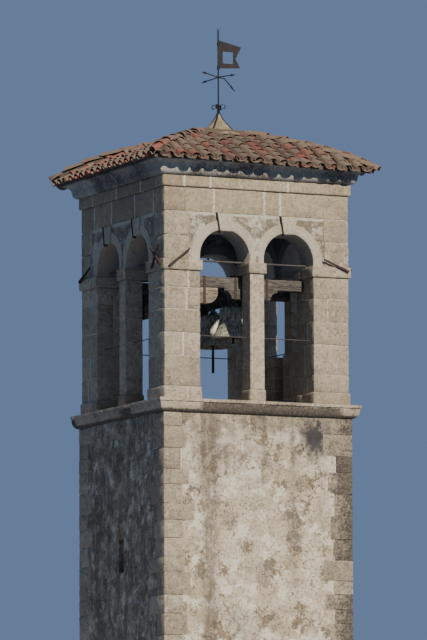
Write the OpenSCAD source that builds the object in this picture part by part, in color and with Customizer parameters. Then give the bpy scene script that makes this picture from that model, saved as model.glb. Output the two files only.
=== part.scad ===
// Square stone bell tower with a two-light belfry, a low tiled roof, a weathervane and two hung bells.
// Millimetres, +Z up, origin on the ground at the middle of the tower. The sunny front faces -Y.

/* [Tower] */
// Width of the belfry across its faces
belfry_w = 3800; // [3700:20:4000]
// Height of the string course's top above the ground
string_top_z = 10200; // [9400:100:11000]
// How far the shaft's faces stand outside the belfry's
shaft_proud = 40; // [20:5:70]
// Width of each corner pillar
pillar_w = 730; // [700:5:760]
// Width of the pier between two openings
pier_w = 290; // [260:5:330]

/* [Doorway] */
// Clear width of the doorway
door_w = 900; // [800:20:1000]
// Clear height of the doorway over its sill
door_h = 2000; // [1900:20:2200]
// Width of each stone jamb
jamb_w = 180; // [150:10:240]
// Height of the lintel
lintel_h = 250; // [200:10:320]
// How far the jambs and lintel stand proud of the wall
surround_proud = 30; // [15:5:50]
// Height of the sill stone
sill_h = 140; // [100:10:200]
// Thickness of the door leaf
leaf_t = 60; // [45:5:80]
// Depth from the wall's face to the door leaf
leaf_inset = 320; // [200:10:450]

/* [Slit windows] */
// Width of each slit
slit_w = 220; // [180:10:280]
// Height of each slit
slit_h = 620; // [500:20:800]
// Drop from the string course's top to a slit's head
slit_drop = 2490; // [2300:10:3000]

/* [String course] */
// Height of the whole moulding
string_h = 250; // [220:5:300]
// Height of its square top slab
string_slab_h = 60; // [45:5:80]
// How far the slab projects from the shaft
string_out = 140; // [120:5:170]
// How far the slab oversails the round below it
string_nose = 22; // [15:1:30]

/* [Belfry masonry] */
// Height of the base blocks
base_h = 235; // [200:5:260]
// How far the base blocks project
base_out = 25; // [15:1:35]
// Height of the underside of the imposts
impost_z = 2400; // [2300:10:2450]
// Height of the imposts
impost_h = 200; // [180:5:240]
// How far the imposts project
impost_out = 38; // [25:1:50]
// Depth of the slim centre piers
pier_t = 353; // [320:1:400]
// Thickness of the wall over the arches
arch_wall_t = 560; // [520:10:640]
// Straight stretch between an impost and the round of its arch
arch_stilt = 80; // [60:5:110]
// Height of the solid wall over the crowns of the arches
over_arch_h = 760; // [730:1:800]
// Height of each keystone above the crown of its arch
keystone_h = 304; // [280:1:330]
// Drop of each keystone below the crown
keystone_drop = 28; // [20:1:40]
// Width of a keystone at its foot
keystone_foot_w = 228; // [200:2:240]
// Width of a keystone at its head
keystone_head_w = 340; // [300:2:360]
// How far a keystone stands proud of the wall
keystone_proud = 22; // [12:1:30]
// Height of the parapets in the right-hand openings
parapet_h = 1105; // [1000:5:1150]
// Thickness of those parapets
parapet_t = 200; // [150:10:240]
// Thickness of the belfry floor
floor_t = 60; // [50:5:80]
// Width of the ledge that carries the floor
floor_ledge = 100; // [60:5:140]

/* [Cornice and roof] */
// Height of the plain band under the cornice
band_h = 218; // [190:2:250]
// How far the band projects from the wall
band_out = 40; // [30:1:55]
// Radius of the round at the foot of the cornice
cornice_round_r = 100; // [80:5:120]
// Radius of the hollow over that round
cornice_hollow_r = 150; // [120:5:170]
// Height of the fillet at the top of the cornice
cornice_fillet_h = 32; // [20:2:50]
// Overhang of the eaves beyond the cornice
eave_out = 195; // [130:5:200]
// Upright thickness of the tiled slopes
slope_t = 160; // [140:5:180]
// Pitch of the roof in degrees
roof_pitch = 22; // [20:0.5:25]
// Radius of the mortar cap's foot
cap_foot_r = 330; // [300:5:380]
// Offset of the cap and weathervane from the middle of the roof, to the right
cap_shift = 110; // [0:5:110]
// Height of the mortar cap
cap_h = 354; // [300:2:420]
// Radius of the cap's top
cap_top_r = 34; // [30:1:45]

/* [Weathervane] */
// Radius of the vane pole
pole_r = 15; // [12:1:18]
// Length of the pole above the cap
pole_len = 1650; // [1550:10:1700]
// Height of the compass cross above the cap
compass_z = 710; // [650:5:760]
// Length of each compass arm from the pole
compass_len = 450; // [400:5:480]
// Thickness of the compass arms
compass_t = 16; // [12:1:20]
// Turn of the compass cross
compass_turn = 20; // [10:1:30]
// Length of the spear points of the compass arms
compass_spear = 110; // [90:5:130]
// Drop of the bent arm's tip
bent_arm_drop = 225; // [150:5:260]
// Height of the banner's foot above the cap
banner_z = 870; // [840:5:900]
// Height of the banner beside the pole
banner_h = 550; // [500:5:580]
// Reach of the banner's upper tip from the pole
banner_len = 484; // [440:4:500]
// Length of the window cut in the banner
window_len = 215; // [180:5:225]
// Height of the window cut in the banner
window_h = 225; // [200:5:240]
// Thickness of the banner's sheet iron
banner_t = 5; // [4:0.5:8]
// Running clearance between the banner's loops and the pole
loop_gap = 1.5; // [1:0.1:2]
// Thickness of the loops
loop_t = 7; // [5:0.5:9]
// Height of each loop
loop_h = 60; // [40:2:70]
// Width of the scrolled straps
strap_w = 28; // [20:1:29]
// Thickness of the scrolled straps
strap_t = 8; // [6:0.5:10]
// Radius of the scrolls
scroll_r = 62; // [50:1:70]
// Height of the stems under the scrolls
scroll_stem = 120; // [90:5:150]
// Radius inside the scrolls' eyes
scroll_eye_r = 20; // [14:1:24]

/* [Wall ties] */
// Depth of the ties behind the wall's face
tie_inset = 280; // [250:5:310]
// Radius of the ties
tie_r = 18; // [14:1:19]
// Height of the ties in the front and back above the imposts
tie_rise = 22; // [20:1:30]
// Height of the ties in the two sides above the imposts
tie_step = 68; // [40:1:70]
// Length of each anchor bar
anchor_len = 560; // [460:10:600]
// Thickness of the anchor bars
anchor_t = 45; // [35:1:50]
// Height of the guard rods above the floor
guard_z = 1210; // [1160:5:1260]
// Radius of the guard rods
guard_r = 9; // [7:0.5:12]

/* [Bell frame] */
// Height of the bearers' tops above the floor
bearer_top = 2360; // [2320:5:2365]
// Depth of the bearers in the front and back openings from their top
bearer_h = 205; // [190:5:230]
// Thickness of the bearers
bearer_t = 200; // [180:5:220]
// Gap between a centre pier's back and the bearer behind it
bearer_gap = 67; // [50:1:90]
// Drop of a bearer's middle block below its ends
bearer_block_drop = 200; // [180:5:240]
// Length of a bearer's middle block
bearer_block_len = 1100; // [1000:10:1160]
// Radius of the hollow shoulders of the block
bearer_shoulder = 150; // [120:5:170]
// Centre of the middle block from the tower's middle
bearer_block_x = 75; // [50:5:100]
// Gap between a prop and the block of the bearer over it
prop_gap = 135; // [100:5:180]
// Height of the props
prop_h = 310; // [280:10:360]
// Radius of the props' rounded corners
prop_round = 220; // [150:10:260]
// Distance of each band from the middle of a bearer's block
band_step = 325; // [280:5:340]
// Width of the iron straps round the bearers
bearer_strap_w = 50; // [40:2:60]
// Thickness of those straps
bearer_strap_t = 7; // [5:0.5:9]

/* [Bells] */
// Mouth diameter of the bells
bell_d = 810; // [780:5:830]
// Height of a bell without its crown
bell_h = 620; // [600:5:640]
// Height of the lips above the floor
lip_z = 1290; // [1260:5:1310]
// Height of the gudgeons above the bearers' tops
gudgeon_rise = 46; // [40:1:52]
// Radius of the gudgeons
gudgeon_r = 20; // [16:1:24]
// Running clearance round the gudgeons
gudgeon_gap = 0.08; // [0.05:0.01:0.1]
// Width of the headstocks
headstock_w = 190; // [170:5:210]
// Height of the headstocks' end arms
headstock_arm_h = 130; // [110:5:140]
// Gap between a headstock's end and the bearer beside it
headstock_end_gap = 30; // [20:1:40]
// Length of a headstock's middle block
headstock_block_len = 620; // [560:10:680]
// Radius of the hollow shoulders of the headstocks
headstock_shoulder = 170; // [140:10:200]
// Width of the bearing blocks
bearing_w = 130; // [110:5:150]
// Thickness of the bearing blocks
bearing_t = 60; // [50:5:75]
// Height of a bearing block above its gudgeon's axis
bearing_rise = 45; // [38:1:52]
// Height of the crown between a bell and its headstock
crown_h = 120; // [100:5:140]
// Radius of the crown's central stem
crown_r = 50; // [40:1:60]
// Radius of the canon loops
canon_r = 50; // [45:1:55]
// Radius of the bar of the canon loops
canon_tube_r = 14; // [12:1:16]
// Distance of the canon loops from the crown's middle
canon_y = 118; // [116:1:124]
// Distance of the front bell from the tower's middle
front_bell_x = 70; // [50:5:90]
// Distance of the rear bell from the tower's middle
rear_bell_x = 300; // [260:5:310]
// Radius of the clapper balls
ball_r = 52; // [44:1:58]
// Radius of the clapper shafts
clapper_r = 16; // [13:1:20]
// Length of the front clapper's tail below its ball
front_tail_len = 90; // [70:5:130]
// Length of the rear clapper's tail below its ball
rear_tail_len = 500; // [450:5:520]
// Radius of the clapper tails
tail_r = 26; // [22:1:30]
// Height of the clapper ball's middle above the lip
ball_rise = 65; // [55:1:80]
// Radius of the pin that carries each clapper
clapper_pin_r = 10; // [8:1:12]
// Radius of the eye at each clapper's head
clapper_eye_r = 22; // [20:1:26]

/* [Hidden] */
$fn = 48;

// Seat left between pieces that touch without being fixed face to face
seat = 0.3;
// Overlap of cutting shapes past the faces that they cut
over = 5;
// Half-width of the square eye left at the peak of the roof
roof_eye = 60;
// Hairline bed between the slopes and the wall heads that carry them
slope_bed = 0.1;
// Power that gives the cap its hollow sides, and the steps of its outline
cap_flare = 1.35;
cap_steps = 12;
// Share of the cap's height at which the straps end
strap_foot = 0.06;
// Length and end radius of the pole's point, and height of the collar under the banner
pole_tip_len = 40;
pole_tip_r = 3;
collar_h = 14;
// Height and wall of the compass hub
hub_h = 40;
hub_wall = 12;
// Share of a compass arm's length at which it starts to droop, and the rise of each knee and tip
knee_share = 0.35;
arm_knees = [-8, -20, 20, 0];
arm_tips = [-bent_arm_drop, -58, 56, 0];
// Distance of the upper loop from the banner's top, and rise of the sheet over the lower loop's foot
loop_inset = 45;
sheet_rise = 10;
// Banner outline: lower tip's shortfall and rise, notch's depth and rise, upper tip's drop
low_tip_short = 28;
low_tip_rise = 40;
notch_depth = 120;
notch_rise = 215;
high_tip_drop = 106;
// Share of the banner's window that lies below the notch
notch_share = 0.45;
// Lean of the anchor bars in degrees on the front and back, then on the sides
front_leans = [39, -22];
side_leans = [24, 50, -40];
// Height of the clapper's pin above the lip
clapper_drop_z = 530;
// Lugs inside the bell: gap between them, thickness, width, and play of the clapper's eye
lug_gap = 56;
lug_t = 12;
lug_w = 44;
lug_play = 3;
// Lower bars of the canon irons: rise above the bell, width and thickness
canon_bar_rise = 12.5;
canon_bar_w = 36;
canon_bar_t = 14;
// Thickness of the gudgeons' plates, and depth of a gudgeon's end inside its bearing
gudgeon_plate_t = 10;
pin_end_gap = 6;

belfry_half = belfry_w / 2;
shaft_half = belfry_half + shaft_proud;
room_half = belfry_half - pillar_w;
opening_w = room_half - pier_w / 2;
shaft_top = string_top_z - string_h;
floor_z = string_top_z;
opening_mid = (pier_w + opening_w) / 2;
impost_top = floor_z + impost_z + impost_h;
spring_z = impost_top + arch_stilt;
crown_z = spring_z + opening_w / 2;
wall_top = crown_z + over_arch_h;
band_half = belfry_half + band_out;
cornice_half = band_half + cornice_round_r + cornice_hollow_r;
eave_half = cornice_half + eave_out;
cornice_top = wall_top + band_h + cornice_round_r + cornice_hollow_r + cornice_fillet_h;
roof_slope = tan(roof_pitch);
cap_seat = cap_foot_r + cap_shift;
cap_z = slope_top(cap_seat);
cap_top = cap_z + cap_h;
bearer_back = -(belfry_half - pier_t - bearer_gap) + bearer_t;
bell_y = (bearer_back - bearer_t / 2) / 2;
prop_len = room_half + bearer_block_x - bearer_block_len / 2 - prop_gap;
pivot_z = bearer_top + gudgeon_rise;
masonry = [0.74, 0.69, 0.6];
plaster = [0.78, 0.72, 0.62];
timber = [0.5, 0.44, 0.36];
iron = [0.25, 0.2, 0.17];
bronze = [0.33, 0.36, 0.29];

// Height of the roof's underside and top at a distance from the middle
function slope_foot(out) = cornice_top + (cornice_half - out) * roof_slope;
function slope_top(out) = slope_foot(out) + slope_t;

// Block given by its low and high corners
module block(low, high) {
    translate(low) cube(high - low);
}

// Runs its child on the front and then turned to the other faces that are asked for
module faces(angles) {
    for (a = angles) rotate(a) children();
}

// One side of a square ring from a profile of [out, height] points, mitred at both corners
module mitred_side(profile) {
    reach = max([for (p = profile) p[0]]) + over;
    low = min([for (p = profile) p[1]]) - over;
    high = max([for (p = profile) p[1]]) + over;
    intersection() {
        rotate([90, 0, 90])
            linear_extrude(2 * reach, center = true)
                polygon([for (p = profile) [-p[0], p[1]]]);
        translate([0, 0, low])
            linear_extrude(high - low)
                polygon([[0, 0], [-reach, -reach], [reach, -reach]]);
    }
}

// Doorway in the back wall
module doorway_sill() {
    color(masonry)
        block([-door_w / 2 - jamb_w, room_half, 0],
            [door_w / 2 + jamb_w, shaft_half + surround_proud, sill_h]);
}

module doorway_jambs() {
    color(masonry)
        for (side = [-1, 1])
            translate([side * (door_w + jamb_w) / 2, 0, 0])
                block([-jamb_w / 2, room_half, sill_h],
                    [jamb_w / 2, shaft_half + surround_proud, sill_h + door_h]);
}

module doorway_lintel() {
    color(masonry)
        block([-door_w / 2 - jamb_w, room_half, sill_h + door_h],
            [door_w / 2 + jamb_w, shaft_half + surround_proud, sill_h + door_h + lintel_h]);
}

module door_leaf() {
    color(timber)
        block([-door_w / 2 + seat, shaft_half - leaf_inset - leaf_t, sill_h],
            [door_w / 2 - seat, shaft_half - leaf_inset, sill_h + door_h - seat]);
}

// Shaft: four corner stacks of quoin stones with walls between them
module shaft_corners() {
    color(masonry)
        faces([0, 90, 180, 270])
            block([-shaft_half, -shaft_half, 0], [-room_half, -room_half, shaft_top]);
}

module shaft_wall() {
    block([-room_half, -shaft_half, 0], [room_half, -room_half, shaft_top]);
}

module slit_wall() {
    slit_top = floor_z - slit_drop;
    difference() {
        shaft_wall();
        block([-slit_w / 2, -shaft_half - over, slit_top - slit_h],
            [slit_w / 2, -room_half + over, slit_top]);
    }
}

module shaft_front_wall() {
    color(plaster) shaft_wall();
}

module shaft_left_wall() {
    color(plaster) rotate(-90) slit_wall();
}

module shaft_right_wall() {
    color(plaster) rotate(90) slit_wall();
}

module shaft_back_sides() {
    color(plaster)
        for (side = [0, 1])
            mirror([side, 0, 0])
                block([door_w / 2 + jamb_w, room_half, 0], [room_half, shaft_half, shaft_top]);
}

module shaft_back_middle() {
    color(plaster)
        block([-door_w / 2 - jamb_w, room_half, sill_h + door_h + lintel_h],
            [door_w / 2 + jamb_w, shaft_half, shaft_top]);
}

// String course: a quarter round under a square slab, rebated inside for the floor
module string_side() {
    round_w = string_out - string_nose;
    round_h = string_h - string_slab_h;
    quarter = [for (a = [0:10:90]) [shaft_half + round_w * sin(a),
        shaft_top + round_h * (1 - cos(a))]];
    mitred_side(concat([[room_half, shaft_top]], quarter, [
        [shaft_half + string_out, floor_z - string_slab_h],
        [shaft_half + string_out, floor_z],
        [room_half + floor_ledge, floor_z],
        [room_half + floor_ledge, floor_z - floor_t],
        [room_half, floor_z - floor_t]]));
}

module string_course_front_back() {
    color(masonry) faces([0, 180]) string_side();
}

module string_course_sides() {
    color(masonry) faces([90, 270]) string_side();
}

module belfry_floor() {
    half = room_half + floor_ledge;
    color(timber) block([-half, -half, floor_z - floor_t], [half, half, floor_z]);
}

// Belfry: stout corner pillars, slim centre piers, base blocks and imposts
module corner_block(out, low, high) {
    faces([0, 90, 180, 270])
        block([-belfry_half - out, -belfry_half - out, low],
            [-room_half + out, -room_half + out, high]);
}

module pier_block(out, depth, low, high) {
    faces([0, 90, 180, 270])
        block([-pier_w / 2 - out, -belfry_half - out, low],
            [pier_w / 2 + out, -belfry_half + depth, high]);
}

module base_blocks() {
    color(masonry) {
        corner_block(base_out, floor_z, floor_z + base_h);
        pier_block(base_out, pier_t + base_out, floor_z, floor_z + base_h);
    }
}

module corner_pillars() {
    color(masonry) corner_block(0, floor_z + base_h, floor_z + impost_z);
}

module centre_piers() {
    color(masonry) pier_block(0, pier_t, floor_z + base_h, floor_z + impost_z);
}

module imposts() {
    color(masonry) {
        corner_block(impost_out, floor_z + impost_z, impost_top);
        pier_block(impost_out, arch_wall_t, floor_z + impost_z, impost_top);
    }
}

// Wedge of a keystone with its foot just under the crown
module keystone_wedge(front, back) {
    translate([opening_mid, 0, 0])
        rotate([90, 0, 0])
            translate([0, 0, -back])
                linear_extrude(back - front)
                    polygon([[-keystone_foot_w / 2, crown_z - keystone_drop],
                        [keystone_foot_w / 2, crown_z - keystone_drop],
                        [keystone_head_w / 2, crown_z + keystone_h],
                        [-keystone_head_w / 2, crown_z + keystone_h]]);
}

// Arched opening cut through the wall of the front
module arch_cut() {
    depth = arch_wall_t + 2 * over;
    translate([opening_mid, -belfry_half + arch_wall_t + over, spring_z])
        rotate([90, 0, 0]) {
            cylinder(h = depth, r = opening_w / 2, $fn = 72);
            translate([-opening_w / 2, -arch_stilt - over, 0])
                cube([opening_w, arch_stilt + over, depth]);
        }
}

module arch_wall(half_len) {
    difference() {
        block([-half_len, -belfry_half, impost_top],
            [half_len, -belfry_half + arch_wall_t, wall_top]);
        for (side = [0, 1])
            mirror([side, 0, 0]) {
                arch_cut();
                keystone_wedge(-belfry_half - over, -belfry_half + arch_wall_t + over);
            }
    }
}

module arch_wall_front() {
    color(masonry) arch_wall(belfry_half);
}

module arch_wall_back() {
    color(masonry) rotate(180) arch_wall(belfry_half);
}

module arch_wall_left() {
    color(masonry) rotate(-90) arch_wall(belfry_half - arch_wall_t);
}

module arch_wall_right() {
    color(masonry) rotate(90) arch_wall(belfry_half - arch_wall_t);
}

module keystones() {
    color(masonry)
        faces([0, 90, 180, 270])
            for (side = [0, 1])
                mirror([side, 0, 0])
                    keystone_wedge(-belfry_half - keystone_proud, -belfry_half + arch_wall_t);
}

module right_parapets() {
    back = belfry_half - pier_t;
    color(masonry)
        for (side = [0, 1])
            mirror([0, side, 0])
                block([back, pier_w / 2 + base_out, floor_z],
                    [back + parapet_t, room_half - base_out, floor_z + parapet_h]);
}

// Cornice: a plain band, a round and a hollow, with the wall head sloped to carry the roof
module cornice_side() {
    inner = belfry_half - arch_wall_t;
    round_foot = wall_top + band_h;
    hollow_foot = round_foot + cornice_round_r;
    rounded = [for (a = [0:10:90]) [band_half + cornice_round_r * sin(a),
        round_foot + cornice_round_r * (1 - cos(a))]];
    hollow = [for (a = [10:10:90]) [cornice_half - cornice_hollow_r * cos(a),
        hollow_foot + cornice_hollow_r * sin(a)]];
    mitred_side(concat([[inner, wall_top], [band_half, wall_top]], rounded, hollow, [
        [cornice_half, cornice_top],
        [inner, slope_foot(inner)]]));
}

module cornice_front_back() {
    color(masonry) faces([0, 180]) cornice_side();
}

module cornice_sides() {
    color(masonry) faces([90, 270]) cornice_side();
}

// Roof: four tiled slopes cut level at the top for the mortar cap
module roof_side() {
    mitred_side([[eave_half, slope_foot(eave_half) + slope_bed],
        [eave_half, slope_top(eave_half)],
        [cap_seat, cap_z],
        [roof_eye, cap_z],
        [roof_eye, slope_foot(roof_eye) + slope_bed]]);
}

module roof_slopes_front_back() {
    color([0.66, 0.42, 0.29]) faces([0, 180]) roof_side();
}

module roof_slopes_sides() {
    color([0.66, 0.42, 0.29]) faces([90, 270]) roof_side();
}

// Radius of the hollow-sided cap at a height above its foot
function cap_r(z) = cap_top_r + (cap_foot_r - cap_top_r) * pow(1 - z / cap_h, cap_flare);

module roof_cap() {
    color([0.68, 0.62, 0.52])
        translate([cap_shift, 0, cap_z])
            rotate_extrude()
                polygon(concat([[0, 0]],
                    [for (i = [0:cap_steps]) [cap_r(cap_h * i / cap_steps), cap_h * i / cap_steps]],
                    [[0, cap_h]]));
}

// Weathervane
module vane_pole() {
    shaft_len = pole_len - pole_tip_len;
    color(iron)
        translate([cap_shift, 0, cap_top]) {
            cylinder(h = shaft_len, r = pole_r);
            translate([0, 0, shaft_len]) cylinder(h = pole_tip_len, r1 = pole_r, r2 = pole_tip_r);
            translate([0, 0, banner_z - seat - collar_h])
                cylinder(h = collar_h, r = pole_r + loop_gap + loop_t);
        }
}

// Outline of a flat forged arm with a spear point, from the pole to a tip that lies higher or lower
module compass_arm(knee_z, tip_z) {
    knee = compass_len * knee_share;
    shank = compass_len - compass_spear;
    shank_z = knee_z + (tip_z - knee_z) * (shank - knee) / (compass_len - knee);
    half = compass_t / 2;
    spear_half = compass_spear / 5;
    rotate([90, 0, 0])
        linear_extrude(compass_t, center = true)
            polygon([[0, -half], [knee, knee_z - half], [shank, shank_z - half],
                [shank, shank_z - spear_half], [compass_len, tip_z],
                [shank, shank_z + spear_half], [shank, shank_z + half],
                [knee, knee_z + half], [0, half]]);
}

module compass_arms() {
    color(iron)
        translate([cap_shift, 0, cap_top + compass_z])
            difference() {
                union() {
                    cylinder(h = hub_h, r = pole_r + hub_wall, center = true);
                    for (i = [0:3]) rotate(compass_turn + 90 * i) compass_arm(arm_knees[i], arm_tips[i]);
                }
                cylinder(h = hub_h + 2 * over, r = pole_r + seat, center = true);
            }
}

// Straps that run down the cap from scrolls beside the pole
module scroll_strap_outline() {
    foot = [for (i = [0:cap_steps]) let (z = cap_h * (strap_foot + (1 - strap_foot) * i / cap_steps))
        [cap_r(z), z]];
    inner = concat(foot, [[pole_r, cap_h + strap_t / 2], [pole_r, cap_h + scroll_stem]]);
    last = len(inner) - 1;
    mid = pole_r + seat + scroll_r;
    polygon(concat(
        [for (p = inner) p + [seat, seat]],
        [for (i = [last:-1:0]) inner[i] + [seat + strap_t, i == last ? seat : strap_t / 2]]));
    translate([mid, cap_h + scroll_stem])
        difference() {
            circle(r = scroll_r);
            circle(r = scroll_r - strap_t);
            translate([-2 * scroll_r, -2 * scroll_r]) square([4 * scroll_r, 2 * scroll_r]);
        }
    translate([mid + scroll_r - strap_t - scroll_eye_r, cap_h + scroll_stem])
        difference() {
            circle(r = scroll_eye_r + strap_t);
            circle(r = scroll_eye_r);
            translate([-3 * scroll_eye_r, 0]) square([6 * scroll_eye_r, 3 * scroll_eye_r]);
        }
}

module scroll_straps() {
    color(iron)
        translate([cap_shift, 0, cap_z])
            faces([45, 135, 225, 315])
                rotate([90, 0, 0])
                    linear_extrude(strap_w, center = true) scroll_strap_outline();
}

// Height of a loop's foot above the banner's foot
function loop_rise(index) = index == 0 ? 0 : banner_h - loop_inset - loop_h;

module vane_banner() {
    hoist = pole_r + loop_gap + loop_t / 2;
    color(iron)
        translate([cap_shift, 0, cap_top + banner_z])
            difference() {
                union() {
                    rotate([90, 0, 0])
                        linear_extrude(banner_t, center = true)
                            difference() {
                                polygon([[hoist, sheet_rise], [banner_len - low_tip_short, low_tip_rise],
                                    [banner_len - notch_depth, notch_rise],
                                    [banner_len, banner_h - high_tip_drop], [hoist, banner_h]]);
                                translate([hoist + (banner_len - notch_depth - window_len) / 2,
                                    notch_rise - window_h * notch_share])
                                    square([window_len, window_h]);
                            }
                    for (i = [0, 1])
                        translate([0, 0, loop_rise(i)])
                            cylinder(h = loop_h, r = pole_r + loop_gap + loop_t);
                }
                translate([0, 0, -over]) cylinder(h = banner_h + 2 * over, r = pole_r + loop_gap);
            }
}

// Wall ties from jamb to jamb, with anchor bars on the outer faces
module rod_between(x_low, x_high, r) {
    translate([x_low + seat, 0, 0])
        rotate([0, 90, 0])
            cylinder(h = x_high - x_low - 2 * seat, r = r, $fn = 24);
}

module opening_rods(inset, height, r, angles) {
    faces(angles)
        for (side = [0, 1])
            mirror([side, 0, 0])
                translate([0, -belfry_half + inset, height])
                    rod_between(pier_w / 2, pier_w / 2 + opening_w, r);
}

module tie_rods() {
    color(iron) {
        opening_rods(tie_inset, impost_top + tie_rise, tie_r, [0, 180]);
        opening_rods(tie_inset, impost_top + tie_step, tie_r, [90, 270]);
    }
}

module anchor_bar(x, height, lean) {
    translate([x, -belfry_half - impost_out - anchor_t / 2 - seat, height])
        rotate([0, -lean, 0])
            cube([anchor_len, anchor_t, anchor_t], center = true);
}

module anchor_bars() {
    near = belfry_half - tie_inset;
    side_z = impost_top + tie_rise;
    front_z = impost_top + tie_step;
    color(iron) {
        faces([0, 180]) {
            anchor_bar(-near, front_z, front_leans[0]);
            anchor_bar(near, front_z, front_leans[1]);
        }
        faces([90, 270]) {
            anchor_bar(-near, side_z, side_leans[0]);
            anchor_bar(near, side_z, side_leans[1]);
            anchor_bar(near, side_z, side_leans[2]);
        }
    }
}

module guard_rods() {
    color(iron) opening_rods(pier_t / 2, floor_z + guard_z, guard_r, [0, 90, 180, 270]);
}

// Beam whose middle hangs lower, with hollow shoulders
module shouldered_beam(low_end, high_end, top, arm_h, block_low, block_high, drop, shoulder) {
    foot = top - arm_h - drop;
    difference() {
        union() {
            translate([low_end, top - arm_h]) square([high_end - low_end, arm_h]);
            translate([block_low, foot]) square([block_high - block_low, drop + arm_h / 2]);
        }
        for (x = [block_low, block_high])
            translate([x, foot]) circle(r = shoulder);
    }
}

// Bell frame: one bearer behind the piers of the front, one across the middle, one in the back
module opening_bearer() {
    translate([0, bearer_back, floor_z])
        rotate([90, 0, 0])
            linear_extrude(bearer_t)
                shouldered_beam(-room_half + seat, room_half - seat, bearer_top, bearer_h,
                    bearer_block_x - bearer_block_len / 2, bearer_block_x + bearer_block_len / 2,
                    bearer_block_drop, bearer_shoulder);
}

module front_bearer() {
    color(timber) opening_bearer();
}

module rear_bearer() {
    color(timber) mirror([0, 1, 0]) opening_bearer();
}

module middle_bearer() {
    half_len = belfry_half - pier_t - seat;
    color(timber)
        block([-half_len, -bearer_t / 2, floor_z + bearer_top - bearer_h],
            [half_len, bearer_t / 2, floor_z + bearer_top]);
}

// Props let into the left jambs under the bearers' ends
module bearer_props() {
    top = bearer_top - bearer_h - seat;
    color(timber)
        for (side = [0, 1])
            mirror([0, side, 0])
                translate([-room_half + seat, bearer_back, floor_z + top - prop_h])
                    rotate([90, 0, 0])
                        linear_extrude(bearer_t)
                            polygon(concat([[0, prop_h], [0, 0]],
                                [for (a = [0:10:90]) [prop_len - prop_round + prop_round * sin(a),
                                    prop_round * (1 - cos(a))]],
                                [[prop_len, prop_h]]));
}

// Iron band round a beam of the given height, standing over a point along it
module beam_band(x, low, high) {
    ease = bearer_strap_t + seat;
    translate([x - bearer_strap_w / 2, 0, floor_z])
        difference() {
            block([0, bearer_back - bearer_t - ease, low - ease],
                [bearer_strap_w, bearer_back + ease, high + ease]);
            block([-over, bearer_back - bearer_t - seat, low - seat],
                [bearer_strap_w + over, bearer_back + seat, high + seat]);
        }
}

module bearer_straps() {
    block_foot = bearer_top - bearer_h - bearer_block_drop;
    prop_foot = bearer_top - bearer_h - seat - prop_h;
    color(iron)
        for (side = [0, 1])
            mirror([0, side, 0]) {
                for (step = [-1, 1])
                    beam_band(bearer_block_x + step * band_step, block_foot, bearer_top);
                beam_band(-room_half + prop_len / 2, prop_foot, bearer_top);
            }
}

// Closed bearing for a gudgeon, from its outer face inwards
module bearing_block(x, y) {
    translate([x, y, floor_z])
        difference() {
            block([-bearing_w / 2, 0, bearer_top], [bearing_w / 2, bearing_t, pivot_z + bearing_rise]);
            translate([0, -over, pivot_z])
                rotate([-90, 0, 0])
                    cylinder(h = bearing_t + 2 * over, r = gudgeon_r + gudgeon_gap);
        }
}

module bearing_blocks() {
    color(iron)
        for (side = [0, 1])
            mirror([0, side, 0]) {
                x = side == 0 ? front_bell_x : rear_bell_x;
                bearing_block(x, bearer_back - bearing_t);
                bearing_block(x, -bearer_t / 2);
            }
}

// Headstock of a bell that hangs in front of the middle bearer
module headstock(x) {
    half_len = (-bearer_t / 2 - bearer_back) / 2 - headstock_end_gap;
    foot = lip_z + bell_h + crown_h;
    top = pivot_z + headstock_arm_h / 2;
    translate([x - headstock_w / 2, bell_y, floor_z])
        rotate([90, 0, 90])
            linear_extrude(headstock_w)
                shouldered_beam(-half_len, half_len, top, headstock_arm_h,
                    -headstock_block_len / 2, headstock_block_len / 2,
                    top - headstock_arm_h - foot, headstock_shoulder);
}

module front_headstock() {
    color(timber) headstock(front_bell_x);
}

module rear_headstock() {
    color(timber) mirror([0, 1, 0]) headstock(rear_bell_x);
}

// Irons of a bell: two straps from the headstock through the canons, and a gudgeon at each end
module bell_irons(x) {
    half_len = (-bearer_t / 2 - bearer_back) / 2 - headstock_end_gap;
    top = pivot_z + headstock_arm_h / 2;
    bar_z = lip_z + bell_h + canon_bar_rise;
    half_w = headstock_w / 2 + seat;
    plate = [headstock_w / 3, headstock_arm_h / 3];
    pin_len = headstock_end_gap + bearing_t - pin_end_gap;
    translate([x, bell_y, floor_z]) {
        for (side = [-1, 1])
            translate([0, side * canon_y - canon_bar_w / 2, 0])
                difference() {
                    block([-half_w - bearer_strap_t, 0, bar_z],
                        [half_w + bearer_strap_t, canon_bar_w, top + seat + bearer_strap_t]);
                    block([-half_w, -over, bar_z + canon_bar_t], [half_w, canon_bar_w + over, top + seat]);
                }
        for (side = [0, 1])
            mirror([0, side, 0])
                translate([0, half_len, pivot_z]) {
                    block([-plate[0], 0, -plate[1]], [plate[0], gudgeon_plate_t, plate[1]]);
                    rotate([-90, 0, 0]) cylinder(h = pin_len, r = gudgeon_r);
                }
    }
}

module front_bell_irons() {
    color(iron) bell_irons(front_bell_x);
}

module rear_bell_irons() {
    color(iron) mirror([0, 1, 0]) bell_irons(rear_bell_x);
}

// Wall of a bell as [share of the mouth's radius, share of the height] from the lip up
bell_outer = [[0.965, 0], [1, 0.035], [0.985, 0.075], [0.93, 0.13], [0.86, 0.2], [0.775, 0.31],
    [0.7, 0.44], [0.645, 0.58], [0.605, 0.74], [0.58, 0.86], [0.55, 0.93], [0.48, 0.98], [0.4, 1]];
bell_inner = [[0.35, 0.94], [0.47, 0.92], [0.52, 0.85], [0.55, 0.72], [0.59, 0.57], [0.645, 0.43],
    [0.72, 0.3], [0.8, 0.19], [0.85, 0.12], [0.87, 0.07], [0.92, 0.02]];

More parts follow.
